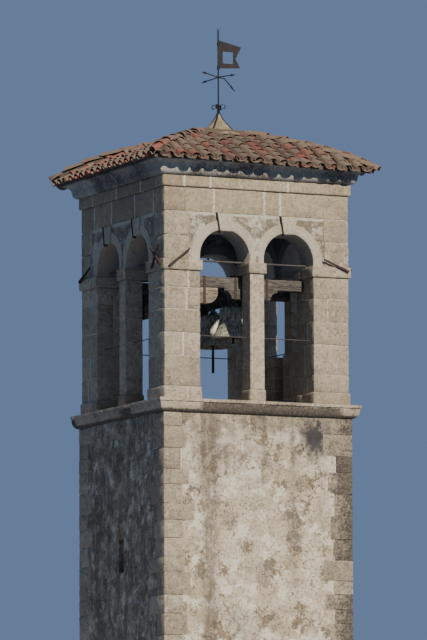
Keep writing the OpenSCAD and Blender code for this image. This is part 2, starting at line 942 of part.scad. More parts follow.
module bell(x) {
    mouth_r = bell_d / 2;
    ceiling = bell_h * bell_inner[0][1];
    lug_mid = (lug_gap + lug_t) / 2;
    translate([x, bell_y, floor_z + lip_z]) {
        rotate_extrude($fn = 96)
            polygon(concat(
                [for (p = bell_outer) [p[0] * mouth_r, p[1] * bell_h]],
                [[0, bell_h], [0, ceiling]],
                [for (p = bell_inner) [p[0] * mouth_r, p[1] * bell_h]]));
        translate([0, 0, bell_h]) cylinder(h = crown_h - seat, r = crown_r);
        for (side = [-1, 1])
            translate([0, side * canon_y, bell_h])
                rotate([90, 0, 90])
                    rotate_extrude(angle = 180)
                        translate([canon_r, 0]) circle(r = canon_tube_r, $fn = 24);
        for (side = [-1, 1])
            translate([0, side * lug_mid, 0])
                block([-lug_w / 2, -lug_t / 2, clapper_drop_z - lug_w / 2],
                    [lug_w / 2, lug_t / 2, ceiling + over]);
        translate([0, -lug_mid, clapper_drop_z])
            rotate([-90, 0, 0]) cylinder(h = 2 * lug_mid, r = clapper_pin_r);
    }
}

module front_bell() {
    color(bronze) bell(front_bell_x);
}

module rear_bell() {
    color(bronze) mirror([0, 1, 0]) bell(rear_bell_x);
}

// Clapper with an eye on the pin, a ball that meets the sound bow and a tail below it
module clapper(x, tail_len) {
    eye_len = lug_gap - 2 * lug_play;
    ball_z = -clapper_drop_z + ball_rise;
    translate([x, bell_y, floor_z + lip_z + clapper_drop_z])
        difference() {
            union() {
                rotate([90, 0, 0]) cylinder(h = eye_len, r = clapper_eye_r, center = true);
                translate([0, 0, ball_z]) cylinder(h = -ball_z, r = clapper_r);
                translate([0, 0, ball_z]) sphere(r = ball_r);
                translate([0, 0, ball_z - ball_r - tail_len]) cylinder(h = ball_r + tail_len, r = tail_r);
            }
            rotate([90, 0, 0])
                cylinder(h = eye_len + 2 * over, r = clapper_pin_r + gudgeon_gap, center = true);
        }
}

module front_clapper() {
    color(iron) clapper(front_bell_x, front_tail_len);
}

module rear_clapper() {
    color(iron) mirror([0, 1, 0]) clapper(rear_bell_x, rear_tail_len);
}

doorway_sill();
doorway_jambs();
doorway_lintel();
door_leaf();
shaft_corners();
shaft_front_wall();
shaft_left_wall();
shaft_right_wall();
shaft_back_sides();
shaft_back_middle();
string_course_front_back();
string_course_sides();
belfry_floor();
base_blocks();
corner_pillars();
centre_piers();
imposts();
arch_wall_front();
arch_wall_back();
arch_wall_left();
arch_wall_right();
keystones();
right_parapets();
cornice_front_back();
cornice_sides();
roof_slopes_front_back();
roof_slopes_sides();
roof_cap();
vane_pole();
compass_arms();
scroll_straps();
vane_banner();
tie_rods();
anchor_bars();
guard_rods();
front_bearer();
middle_bearer();
rear_bearer();
bearer_props();
bearer_straps();
bearing_blocks();
front_headstock();
front_bell_irons();
front_bell();
front_clapper();
rear_headstock();
rear_bell_irons();
rear_bell();
rear_clapper();
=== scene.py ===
import math

import bpy
import numpy as np
from mathutils import Matrix, Vector


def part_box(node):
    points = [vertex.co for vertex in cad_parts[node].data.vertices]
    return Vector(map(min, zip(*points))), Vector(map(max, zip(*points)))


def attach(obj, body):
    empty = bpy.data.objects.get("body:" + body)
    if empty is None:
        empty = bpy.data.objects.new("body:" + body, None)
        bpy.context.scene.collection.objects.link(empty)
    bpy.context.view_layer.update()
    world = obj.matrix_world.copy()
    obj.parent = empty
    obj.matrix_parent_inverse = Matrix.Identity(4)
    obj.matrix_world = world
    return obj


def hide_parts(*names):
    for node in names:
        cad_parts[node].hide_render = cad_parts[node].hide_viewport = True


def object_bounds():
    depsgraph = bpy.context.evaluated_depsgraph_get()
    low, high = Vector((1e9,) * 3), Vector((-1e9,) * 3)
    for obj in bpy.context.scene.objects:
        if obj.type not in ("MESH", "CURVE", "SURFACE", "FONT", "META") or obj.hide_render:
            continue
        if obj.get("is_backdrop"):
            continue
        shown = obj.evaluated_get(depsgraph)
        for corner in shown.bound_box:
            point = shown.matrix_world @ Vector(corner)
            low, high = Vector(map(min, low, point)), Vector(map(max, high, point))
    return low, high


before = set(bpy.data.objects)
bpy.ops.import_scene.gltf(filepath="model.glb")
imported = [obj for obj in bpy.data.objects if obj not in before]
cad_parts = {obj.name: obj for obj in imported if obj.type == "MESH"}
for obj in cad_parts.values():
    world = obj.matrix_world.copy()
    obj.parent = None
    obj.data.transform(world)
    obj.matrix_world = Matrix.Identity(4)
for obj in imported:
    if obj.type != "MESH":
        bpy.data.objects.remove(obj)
cad_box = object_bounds()


# ---- The stand: a pale round floor under the tower, a soft sun near the front's normal and a weak cool sky.
# The camera looks up from the ground, to the left of the front, at the photograph's angle and framing.
# Painted shade: every colour is dimmed by one factor and the sun is made stronger to match, so faces lit only by
# the sky come out darker.
SHADE_DIMMING, SHARP_ANGLE = 0.70, math.radians(50)


def paint(red, green, blue):
    """A clean colour given as 0 to 255 values, as the linear values that sockets take, dimmed by a common factor
    that paints extra shade into every colour, the sun being made stronger to match.
    """
    return [SHADE_DIMMING * ((c / 255 + 0.055) / 1.055) ** 2.4 for c in (red, green, blue)] + [1.0]


class Finish:
    """A procedural material under construction: a first tone, and coats laid over it. Its methods add nodes."""

    def __init__(self, name, tone, roughness=0.9, metallic=0.0):
        self.material = bpy.data.materials.new(name)
        self.material.use_nodes = True
        self.tree = self.material.node_tree
        self.shader = self.tree.nodes["Principled BSDF"]
        self.shader.inputs["Roughness"].default_value = roughness
        self.shader.inputs["Metallic"].default_value = metallic
        self.place = self.add("ShaderNodeTexCoord", {}).outputs["Object"]
        self.tone = tone

    def add(self, kind, inputs, **settings):
        """One node: settings are its properties, and each input is a constant or another node's output."""
        node = self.tree.nodes.new(kind)
        for key, value in settings.items():
            setattr(node, key, value)
        for key, value in inputs.items():
            if isinstance(value, bpy.types.NodeSocket):
                self.tree.links.new(value, node.inputs[key])
            else:
                node.inputs[key].default_value = value
        return node

    def stretched(self, scale):
        """Place on the piece, multiplied along each axis."""
        return self.add("ShaderNodeMapping", {"Vector": self.place, "Scale": scale}).outputs[0]

    def noise(self, size, detail=4.0, roughness=0.55, place=None):
        """Cloudy noise from 0 to 1 whose lumps are about size metres."""
        return self.add("ShaderNodeTexNoise", {"Vector": place or self.place, "Scale": 1 / size, "Detail": detail,
                                               "Roughness": roughness}).outputs[0]

    def cells(self, size, place=None, feature="F1", result="Distance"):
        """Distance to scattered points about size metres apart, or another result of the same texture."""
        inputs = {"Vector": place or self.place, "Scale": 1 / size}
        return self.add("ShaderNodeTexVoronoi", inputs, feature=feature).outputs[result]

    def mark(self, name):
        """A value from 0 to 1 kept at the mesh's points."""
        return self.add("ShaderNodeAttribute", {}, attribute_name=name).outputs["Fac"]

    def step(self, value, low, high, start=0.0, end=1.0):
        """Soft step of a value: start below low, end above high."""
        return self.add("ShaderNodeMapRange", {0: value, 1: low, 2: high, 3: start, 4: end},
                        interpolation_type="SMOOTHSTEP").outputs[0]

    def times(self, a, b, operation="MULTIPLY"):
        """Product of two values, or another operation on them."""
        return self.add("ShaderNodeMath", {0: a, 1: b}, operation=operation).outputs[0]

    def total(self, value, *others):
        """Value plus each of the others. Another given with a factor is multiplied by it first."""
        for other in others:
            other = self.times(*other) if isinstance(other, tuple) else other
            value = self.times(value, other, "ADD")
        return value

    def mix(self, share, a, b):
        """Colour a turned into colour b by a share from 0 to 1. Each is an output, or its red, green and blue."""
        a, b = [paint(*colour) if isinstance(colour, tuple) else colour for colour in (a, b)]
        return self.add("ShaderNodeMix", {0: share, 6: a, 7: b}, data_type="RGBA").outputs[2]

    def cover(self, colour, share):
        """Turns the tone so far into a colour by a share."""
        self.tone = self.mix(share, self.tone, colour)

    def coat(self, colour, value, low, high, most=1.0):
        """Turns the tone so far into a colour where a value is high: by its soft step, which ends at most."""
        self.cover(colour, self.step(value, low, high, 0.0, most))

    def finish(self, height=None, depth=0.0):
        """Joins the tone and the bump, depth in metres, to the shader, and returns the material."""
        self.tree.links.new(self.tone, self.shader.inputs["Base Color"])
        if height is not None:
            bump = self.add("ShaderNodeBump", {"Height": height, "Strength": 1.0, "Distance": depth})
            self.tree.links.new(bump.outputs[0], self.shader.inputs["Normal"])
        return self.material


def surface(name, points, faces, **marks):
    """A mesh from an array of points and an array of faces of four point numbers, smooth but for sharp edges."""
    mesh = bpy.data.meshes.new(name)
    mesh.vertices.add(len(points))
    mesh.vertices.foreach_set("co", np.asarray(points, np.float32).ravel())
    mesh.loops.add(faces.size)
    mesh.loops.foreach_set("vertex_index", faces.ravel().astype(np.int32))
    mesh.polygons.add(len(faces))
    mesh.polygons.foreach_set("loop_start", np.arange(0, faces.size, 4, dtype=np.int32))
    mesh.update(calc_edges=True)
    mesh.validate()
    mesh.shade_smooth()
    mesh.set_sharp_from_angle(angle=SHARP_ANGLE)
    for mark, values in marks.items():
        layer = mesh.attributes.new(mark, "FLOAT", "POINT")
        layer.data.foreach_set("value", np.asarray(values, np.float32))
    piece = bpy.data.objects.new(name, mesh)
    bpy.context.scene.collection.objects.link(piece)
    return piece


def dress(name, part, material, replaces=(), body="tower"):
    """One piece from a part's points, faces and marks, none of it below the ground. It is given its material and
    the body that it rides on, and the CAD nodes that it stands for are hidden."""
    points, faces, marks = part
    piece = surface(name, np.maximum(points, [-np.inf, -np.inf, 0]), faces, **marks)
    piece.data.materials.append(material)
    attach(piece, body)
    if replaces:
        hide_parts(*replaces)


def tube_faces(rows, columns):
    """Faces between the rows of a grid of points, each row closed into a ring."""
    number = np.arange(rows * columns).reshape(rows, columns)
    number = np.concatenate([number, number[:, :1]], 1)
    return np.stack([number[:-1, :-1], number[:-1, 1:], number[1:, 1:], number[1:, :-1]], -1).reshape(-1, 4)


FLOOR_RADIUS = 12.0
rings, spokes = np.array([0.001, 3.0, 6.0, 9.0, FLOOR_RADIUS]), np.linspace(0, 2 * np.pi, 97)[:-1]
floor_points = np.stack([np.outer(rings, np.cos(spokes)), np.outer(rings, np.sin(spokes)),
                         np.zeros((len(rings), len(spokes)))], -1).reshape(-1, 3)
floor_finish = Finish("pale_floor", (214, 210, 203), 0.95)
floor_finish.cover((206, 202, 195), floor_finish.noise(1.2))
floor = surface("stand_floor", floor_points, tube_faces(len(rings), len(spokes))[:, ::-1])
floor.data.materials.append(floor_finish.finish())
floor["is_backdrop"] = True

CORNER = np.array([-1.9, -1.9, 10.2])
CAMERA_AZIMUTH, CAMERA_DISTANCE, CAMERA_DROP = math.radians(24.662), 104.9, 10.695
CAMERA_YAW, CAMERA_PITCH, CAMERA_ROLL = math.radians(25.155), math.radians(6.599), math.radians(0.218)
camera = bpy.data.objects.new("camera", bpy.data.cameras.new("camera"))
camera.data.lens, camera.data.sensor_width = 321.65, 36.0
camera.data.clip_start, camera.data.clip_end = 1.0, 1000.0
bpy.context.scene.collection.objects.link(camera)
bpy.context.scene.camera = camera
eye = CORNER - [CAMERA_DISTANCE * math.sin(CAMERA_AZIMUTH), CAMERA_DISTANCE * math.cos(CAMERA_AZIMUTH), CAMERA_DROP]
camera.matrix_world = (Matrix.Translation(Vector(eye)) @ Matrix.Rotation(-CAMERA_YAW, 4, "Z")
                       @ Matrix.Rotation(math.pi / 2 + CAMERA_PITCH, 4, "X")
                       @ Matrix.Rotation(-CAMERA_ROLL, 4, "Z"))

SUN_HEIGHT, SUN_SIDE, SUN_POWER, SUN_COLOUR = math.radians(29.5), math.radians(1.5), 5.5, (1.0, 0.945, 0.86)
SKY_COLOUR, SKY_POWER = (0.140, 0.209, 0.370, 1), 0.95
sun = bpy.data.objects.new("sun", bpy.data.lights.new("sun", "SUN"))
sun.data.energy, sun.data.angle, sun.data.color = SUN_POWER, math.radians(1.2), SUN_COLOUR
sun.rotation_euler = (math.pi / 2 - SUN_HEIGHT, 0, SUN_SIDE)
bpy.context.scene.collection.objects.link(sun)
sky = bpy.data.worlds.new("sky")
sky.use_nodes = True
sky.node_tree.nodes["Background"].inputs[0].default_value = SKY_COLOUR
sky.node_tree.nodes["Background"].inputs[1].default_value = SKY_POWER
bpy.context.scene.world = sky


# ---- Shaft corners: squared limestone quoins, long and short by turns, laid in lime mortar.
# Each is a rough-cut block with worn arrises, standing a little proud of the mortar behind it.
dice = np.random.default_rng(11)


def lattice(cells):
    """Skin of a cube of cells by cells by cells: its points as whole steps, and its faces, turned outwards."""
    line = np.arange(cells + 1)
    grid = np.stack(np.meshgrid(line, line, line, indexing="ij"), -1).reshape(-1, 3)
    skin = ((grid == 0) | (grid == cells)).any(1)
    number = np.full(len(grid), -1)
    number[skin] = np.arange(skin.sum())
    number = number.reshape(cells + 1, cells + 1, cells + 1)
    faces = []
    for axis in range(3):
        for end in (0, cells):
            sheet = np.take(number, end, axis)
            quads = np.stack([sheet[:-1, :-1], sheet[1:, :-1], sheet[1:, 1:], sheet[:-1, 1:]], -1).reshape(-1, 4)
            faces.append(quads[:, ::-1] if (end == 0) != (axis == 1) else quads)
    return grid[skin], np.concatenate(faces)


def many(points, faces, **marks):
    """One part from many like shapes: points are [shape, point, xyz], and a mark is one value a shape."""
    count, size = points.shape[:2]
    faces = (faces[None] + size * np.arange(count)[:, None, None]).reshape(-1, 4)
    return points.reshape(-1, 3), faces, {k: np.repeat(v, size) for k, v in marks.items()}


def blocks(low, high, edge=0.015, cells=3, wobble=0.002, mortar=0.0):
    """Rough-cut blocks between pairs of corners. Each is a lattice whose end steps are edge wide. Points on an
    arris move in by 0.3 of the edge and those at a corner by 0.42, and all shift a little at random."""
    low, high = np.atleast_2d(np.asarray(low, float)), np.atleast_2d(np.asarray(high, float))
    low, high = np.minimum(low, high), np.maximum(low, high)
    steps, faces = lattice(cells)
    rim = np.minimum(edge, 0.3 * (high - low))
    share = np.linspace(0, 1, cells - 1)[None, :, None]
    inner = (low + rim)[:, None] + share * (high - low - 2 * rim)[:, None]
    stops = np.concatenate([low[:, None], inner, high[:, None]], 1)
    points = np.stack([stops[:, steps[:, a], a] for a in range(3)], -1)
    inwards = (steps == 0) * 1.0 - (steps == cells) * 1.0
    pull = np.array([0, 0, 0.3, 0.42])[np.abs(inwards).sum(1).astype(int)][:, None]
    shift = dice.normal(0, wobble, points.shape).clip(-2 * wobble, 2 * wobble)
    points = points + inwards * pull * rim[:, None] + shift
    return many(points, faces, tint=dice.random(len(low)), mortar=np.full(len(low), mortar))


def join(*parts):
    """Several parts' points, faces and marks as one: face numbers move up past the points before them."""
    starts = np.cumsum([0] + [len(p[0]) for p in parts])
    faces = np.concatenate([p[1] + s for p, s in zip(parts, starts)])
    names = sorted(set().union(*[p[2] for p in parts]))
    marks = {n: np.concatenate([p[2].get(n, np.zeros(len(p[0]))) for p in parts]) for n in names}
    return np.concatenate([p[0] for p in parts]), faces, marks


def four(make, *rest):
    """One part of what make gives for each of the four faces or corners."""
    return join(*[make(quarter, *rest) for quarter in range(4)])


def facing(points, quarter, out=0.0):
    """Points given as [across, outwards, up] on the face that looks along quarter: 0 front, 1 right, 2 back and
    3 left."""
    a, o, u = points.T
    o = o + out
    return np.stack([[a, -o, u], [o, a, u], [-a, o, u], [-o, -a, u]][quarter], -1)


def turned(part, quarter):
    """The same part turned about the tower's middle by quarter turns, seen from above."""
    return facing(part[0] * [1, -1, 1], quarter), part[1], part[2]


def courses(low, high, size, spread, joint=0.005):
    """Heights of the beds of a stack of stones: random steps near size, scaled to end at the top."""
    count = max(1, round((high - low) / size))
    steps = 1 + dice.uniform(-spread, spread, count)
    beds = low + (high - low) * np.concatenate([[0], np.cumsum(steps)]) / steps.sum()
    return np.stack([beds[:-1] + joint / 2, beds[1:] - joint / 2], 1)


def stone_finish(name, light, dark, grime, pale_joint, lichen=0.5):
    """Weathered stone: two tones by block and cloud, fine pits, dark crust in patches and painted shade where
    marked, pale mortar where marked.
    """
    f = Finish(name, light, 0.92)
    cloudy, blotch = f.noise(0.5, 5), f.noise(0.13, 5, 0.65)
    fine, grain = f.noise(0.04, 5, 0.7), f.noise(0.012, 3, 0.7)
    f.coat(dark, f.total(f.mark("tint"), cloudy, blotch), 0.7, 2.2)
    f.coat(dark, blotch, 0.44, 0.66, 0.6)
    f.coat(grime, f.total(fine, (grain, 0.4)), 0.68, 0.86, 0.55)
    f.coat(pale_joint, f.noise(0.09, 5, 0.7), 0.58, 0.68, 0.6)
    f.coat(grime, f.total(f.noise(0.55, 6, 0.62), (fine, 0.35)), 0.72, 0.9, lichen)
    f.cover(f.mix(f.step(fine, 0.4, 0.75), pale_joint, dark), f.mark("mortar"))
    crust = f.mix(f.step(fine, 0.38, 0.56), f.mix(0.15, grime, dark), (74, 68, 60))
    f.coat(crust, f.total(f.mark("crust"), (f.total(f.noise(0.28, 5, 0.65), fine), 1.1)), 1.15, 1.85, 0.92)
    pits = f.step(f.cells(0.03), 0.10, 0.3)
    f.cover(grime, f.times(f.step(pits, 0.0, 1.0, 0.5, 0.0), f.step(cloudy, 0.4, 0.6)))
    return f.finish(f.total(fine, (grain, 0.35), (pits, 0.35)), 0.010)


ashlar = stone_finish("weathered_limestone", (218, 200, 169), (176, 158, 129), (104, 92, 74), (238, 225, 198))
SHAFT_HALF, SHAFT_TOP, STACK, JOINT_DEPTH = 1.94, 9.95, 0.77, 0.02
CRUST_HEIGHTS = [0, 5.4, 6.3, 6.6, 6.8, 7.2, 7.4, 8.5, 8.8, 9.15, 9.3, 9.6, 9.9]
CRUST_SHARES = [0.5, 0.7, 0.95, 0.85, 0.1, 0.1, 0.85, 0.75, 1.35, 1.35, 0.3, 0.5, 0.85]


def quoin_stack(quarter):
    """One corner's quoins: every course is a block whose long side turns from one face to the other. The front's
    right corner is dark with crust, more at some heights than at others, fading away from the corner."""
    beds = courses(0.0, SHAFT_TOP, 0.33, 0.28)
    count = len(beds)
    turns = np.arange(count) % 2 == quarter % 2
    long_side, short_side = dice.uniform(0.44, 0.66, count), dice.uniform(0.34, 0.42, count)
    along_x, along_y = np.where(turns, long_side, short_side), np.where(turns, short_side, long_side)
    face = -SHAFT_HALF + dice.uniform(0.0, 0.005, (count, 2))
    low = np.stack([face[:, 0], face[:, 1], beds[:, 0]], 1)
    high = np.stack([-SHAFT_HALF + along_x, -SHAFT_HALF + along_y, beds[:, 1]], 1)
    core = blocks([-SHAFT_HALF + JOINT_DEPTH] * 2 + [0.0], [-SHAFT_HALF + STACK] * 2 + [SHAFT_TOP], 0.01, 3, 0, 1.0)
    stones = blocks(low, high, 0.012, 4, 0.0022)
    dirt = np.interp(beds.mean(1), CRUST_HEIGHTS, CRUST_SHARES) if quarter == 1 else dice.uniform(0.0, 0.3, count)
    from_corner = np.maximum(stones[0][:, 0], stones[0][:, 1]) + SHAFT_HALF
    stones[2]["crust"] = np.repeat(dirt, len(stones[0]) // count) * (1 - 0.75 * np.clip(from_corner / 0.5, 0, 1))
    return turned(join(stones, core), quarter)


dress("shaft_quoins", four(quoin_stack), ashlar, ["shaft_corners"])


# ---- Shaft walls: rubble under a coat of lime plaster that has pitted, stained and fallen away in patches.
# Each face is one relief, with its slit or doorway left open and its reveals plastered too.
def cloud(points, size, seed, octaves=3):
    """Smooth random heights from 0 to 1: random values on a lattice size metres apart, blended by the smooth
    curve 3t^2 - 2t^3 between lattice points, plus octaves of half the size and half the height."""
    total, weight = np.zeros(len(points)), 0.0
    for octave in range(octaves):
        scaled = np.asarray(points, float) / (size / 2 ** octave) + 57.3 * seed
        cell = np.floor(scaled).astype(np.int64)
        part = scaled - cell
        part = part * part * (3 - 2 * part)
        for corner in np.ndindex(2, 2, 2):
            at = cell + np.array(corner)
            mixed = at[:, 0] * 374761393 + at[:, 1] * 668265263 + at[:, 2] * 2147483647 + seed * 974634777
            mixed = (mixed ^ (mixed >> 13)) * 1274126177
            value = ((mixed ^ (mixed >> 16)) & 65535) / 65535
            share = np.where(np.array(corner) == 1, part, 1 - part).prod(1)
            total += share * value * 0.5 ** octave
        weight += 0.5 ** octave
    return total / weight


def smooth(value, low, high):
    """Soft step from 0 below low to 1 above high."""
    t = np.clip((value - low) / (high - low), 0, 1)
    return t * t * (3 - 2 * t)


def relief_slab(a, u, depth, back, keep):
    """A slab seen from its face: a grid of places across and up, set back by depth at each point, a flat back, and
    edges round the outside and round every hole, where keep is false. Returned as [across, outwards, up]."""
    face = np.stack([a, -depth, u], -1).reshape(-1, 3)
    rear = np.stack([a, np.full(a.shape, -back), u], -1).reshape(-1, 3)
    number = np.arange(a.size).reshape(a.shape)
    corners = [number[:-1, :-1], number[1:, :-1], number[1:, 1:], number[:-1, 1:]]
    quads = np.stack(corners, -1)[keep]
    faces = [quads, quads[:, ::-1] + a.size]
    padded = np.pad(keep, 1)
    for k, (da, du) in enumerate([(0, -1), (1, 0), (0, 1), (-1, 0)]):
        edge = keep & ~padded[1 + da:padded.shape[0] - 1 + da, 1 + du:padded.shape[1] - 1 + du]
        first, second = corners[k][edge], corners[(k + 1) % 4][edge]
        faces.append(np.stack([second, first, first + a.size, second + a.size], -1))
    return np.concatenate([face, rear]), np.concatenate(faces)


def stops(low, high, step, *through):
    """Grid stops from low to high about step apart, passing through the named values."""
    ends = np.unique(np.round([low, high, *through], 6))
    return np.unique(np.concatenate([np.linspace(a, b, max(2, round((b - a) / step) + 1))
                                     for a, b in zip(ends[:-1], ends[1:])]))


PLASTER_SET, PLASTER_HALF, WALL_T = 0.003, 1.56, 0.77
SLIT_HALF, SLIT_LOW, SLIT_HIGH = 0.11, 7.09, 7.71
DOORWAY_HALF, DOORWAY_TOP = 0.63, 2.39
FRONT_STREAKS = [(-1.13, 0.11, 8.7, 1.0), (-1.0, 0.19, 5.6, 0.85), (0.70, 0.11, 8.9, 0.95), (0.70, 0.15, 7.0, 0.65),
                 (0.12, 0.10, 9.1, 0.7), (-0.72, 0.14, 8.9, 0.6), (0.45, 0.12, 8.2, 0.25), (1.32, 0.14, 7.2, 0.35)]
SOOT_X, SOOT_Z = 1.15, 9.56
BARE_AT = [(0.16, 9.05, 0.20), (-0.55, 7.95, 0.30), (0.08, 7.0, 0.34), (-1.05, 7.0, 0.22), (0.72, 7.75, 0.30),
           (-0.95, 9.55, 0.28), (0.10, 8.75, 0.12), (-0.55, 6.1, 0.34), (0.55, 8.1, 0.16)]


def plaster_wall(quarter, holes):
    """One plastered face. Depth is a slow swell, a scatter of pits, and patches where the coat has come away. The
    front has brown streaks, bare spots and a burst of soot at named places. The left, the side away from the sun,
    is darkened nearly all over as painted shade, with paler flecks."""
    through_a = [v for h in holes for v in (-h[0], h[0])]
    through_u = [v for h in holes for v in h[1:]]
    across, up = stops(-PLASTER_HALF, PLASTER_HALF, 0.045, *through_a), stops(0, SHAFT_TOP, 0.05, *through_u)
    a, u = np.meshgrid(across, up, indexing="ij")
    x, z = a.ravel(), u.ravel()
    flat = np.stack([x, z, np.full(a.size, 3.7 * quarter)], 1)
    bare = 0.6 * smooth(cloud(flat, 0.8, 5 + quarter, 4), 0.56, 0.72)
    stain, soot = np.zeros(a.size), np.zeros(a.size)
    # Painted shade: the left face, away from the sun, is darkened nearly all over, with paler flecks.
    if quarter == 3:
        stain = 0.8 - 0.6 * smooth(cloud(flat, 0.14, 47), 0.56, 0.68)
    if quarter == 0:
        wavy = x + 0.06 * (cloud(flat, 0.5, 31, 2) - 0.5)
        for middle, width, foot, strength in FRONT_STREAKS:
            band = np.exp(-((wavy - middle) / width) ** 2) * smooth(z, foot - 0.9, foot + 0.6)
            stain = np.maximum(stain, strength * band)
        spot = np.hypot(x - SOOT_X, (z - SOOT_Z) * 0.8)
        ray = cloud(np.stack([np.arctan2(z - SOOT_Z, x - SOOT_X), 0 * spot, 0 * spot], 1), 0.24, 33, 2)
        soot = np.maximum(1.3 * np.exp(-(spot / 0.18) ** 2), 1.5 * ray * np.exp(-(spot / 0.36) ** 2))
        for middle, height, size in BARE_AT:
            near = np.hypot(x - middle, z - height) + 0.5 * (cloud(flat, 0.22, 35) - 0.5)
            bare = np.maximum(bare, 0.85 - 0.85 * smooth(near, size * 0.2, size * 1.2))
    rain = smooth(cloud(flat * [1, 0.06, 1], 0.3, 41 + quarter), 0.5, 0.75)
    stain = np.maximum(stain, 0.4 * rain * smooth(z, SHAFT_TOP - 3.5, SHAFT_TOP))
    damp = z + 1.1 * (cloud(flat, 0.35, 36) - 0.5)
    stain = np.maximum(stain, 0.7 * smooth(damp, SHAFT_TOP - 1.3, SHAFT_TOP))
    rim = np.minimum(1, (PLASTER_HALF - np.abs(x)) / 0.3)
    depth = (PLASTER_SET + 0.004 * cloud(flat, 0.6, 12, 2) + 0.003 * cloud(flat, 0.09, 13, 2)
             + bare * (0.002 + 0.006 * cloud(flat, 0.12, 14, 2)) * rim)
    mid_a, mid_u = (across[1:] + across[:-1]) / 2, (up[1:] + up[:-1]) / 2
    keep = np.ones((len(mid_a), len(mid_u)), bool)
    for half, low, high in holes:
        keep &= ~((np.abs(mid_a)[:, None] < half) & (mid_u > low)[None] & (mid_u < high)[None])
    points, faces = relief_slab(a, u, depth.reshape(a.shape), WALL_T, keep)
    marks = {"bare": bare, "stain": stain, "soot": soot}
    return facing(points, quarter, SHAFT_HALF), faces, {k: np.tile(v, 2) for k, v in marks.items()}


def plaster_finish():
    """Pale lime plaster: clouds of cream and tan, pale smears, ochre speckles that gather in clouds, grey pitted
    stone where it has worn thin, brown rain streaks and brown painted shade where marked, dark pinholes, soot where
    marked, and thin brown edges."""
    f = Finish("lime_plaster", (238, 222, 191), 0.95)
    cloudy, blotch = f.noise(0.9, 6, 0.6), f.noise(0.24, 6, 0.7)
    fine, grain = f.noise(0.05, 6, 0.8), f.noise(0.014, 3)
    f.coat((214, 196, 162), cloudy, 0.38, 0.62)
    f.coat((178, 160, 128), blotch, 0.46, 0.66, 0.6)
    f.coat((156, 137, 106), fine, 0.49, 0.60, 0.75)
    f.coat((252, 240, 212), f.noise(0.36, 7, 0.75), 0.53, 0.58, 0.85)
    density = f.total(f.step(f.noise(0.42, 6, 0.65), 0.44, 0.62, 0.0, 0.40), (f.mark("bare"), 0.16))
    speckle = f.mix(f.step(blotch, 0.42, 0.56), (156, 130, 92), (122, 110, 90))
    f.coat(speckle, f.total(fine, density), 0.80, 0.89, 0.9)
    stone = f.mix(f.step(fine, 0.4, 0.6), (176, 162, 138), (118, 106, 88))
    f.coat(stone, f.total(f.mark("bare"), (f.total(blotch, fine), 1.1)), 1.3, 1.95, 0.65)
    rain = f.noise(0.16, 5, 0.65, f.stretched((1, 1, 0.12)))
    # The stain mark gives brown rain streaks, and on the left face painted shade.
    streaks = f.times(f.mark("stain"), f.step(f.total(rain, blotch), 0.75, 1.25, 0.45, 1.0))
    f.coat((112, 97, 78), streaks, 0.0, 0.9, 0.85)
    pinholes = f.step(f.cells(0.07), 0.15, 0.23, 0.95, 0.0)
    f.cover((96, 78, 54), f.times(pinholes, f.step(f.noise(0.3, 3), 0.4, 0.6)))
    f.coat((58, 57, 61), f.total(f.mark("soot"), (f.total(fine, blotch), 0.4)), 0.45, 1.25, 0.9)
    edge = f.times(f.times(f.noise(0.55, 6, 0.7), 0.5, "SUBTRACT"), 0.0, "ABSOLUTE")
    f.cover((112, 94, 68), f.times(f.step(edge, 0.0, 0.012, 0.6, 0.0), f.step(fine, 0.4, 0.55)))
    return f.finish(f.total(fine, (grain, 0.3), (blotch, 0.8)), 0.012)


plaster, slit = plaster_finish(), (SLIT_HALF, SLIT_LOW, SLIT_HIGH)
for quarter, (name, holes, nodes) in enumerate([
        ("front_plaster", [], ["shaft_front_wall"]), ("right_plaster", [slit], ["shaft_right_wall"]),
        ("back_plaster", [(DOORWAY_HALF, 0, DOORWAY_TOP)], ["shaft_back_sides", "shaft_back_middle"]),
        ("left_plaster", [slit], ["shaft_left_wall"])]):
    dress(name, plaster_wall(quarter, holes), plaster, nodes)


# ---- Doorway in the back wall: stone sill, jambs in three blocks each and a lintel, round a plank door.
# The leaf is oak planks nailed to ledges, hung on long iron straps, with a ring handle and a lock plate.
SILL_TOP, DOOR_HALF, DOOR_TOP, SURROUND_OUT, ROOM_HALF = 0.14, 0.45, 2.14, 1.97, 1.17


def as_blocks(boxes, quarter, **how):
    """Blocks given as [across, outwards, up] boxes on one face, turned to that face."""
    boxes = np.asarray(boxes, float)
    return blocks(facing(boxes[:, 0], quarter), facing(boxes[:, 1], quarter), **how)


jamb_beds = [SILL_TOP, 0.86, 1.42, DOOR_TOP]
sill = [[[-DOORWAY_HALF, ROOM_HALF, 0], [DOORWAY_HALF, SURROUND_OUT, SILL_TOP]]]
jambs = [[[side * DOOR_HALF, ROOM_HALF, low + 0.004], [side * DOORWAY_HALF, SURROUND_OUT, high - 0.004]]
         for side in (-1, 1) for low, high in zip(jamb_beds[:-1], jamb_beds[1:])]
lintel = [[[-DOORWAY_HALF, ROOM_HALF, DOOR_TOP], [DOORWAY_HALF, SURROUND_OUT, DOORWAY_TOP]]]
for name, boxes, worn, cells, node in (("doorway_sill_stone", sill, 0.02, 8, "doorway_sill"),
                                       ("doorway_jamb_stones", jambs, 0.012, 5, "doorway_jambs"),
                                       ("doorway_lintel_stone", lintel, 0.014, 8, "doorway_lintel")):
    dress(name, as_blocks(boxes, 2, edge=worn, cells=cells), ashlar, [node])


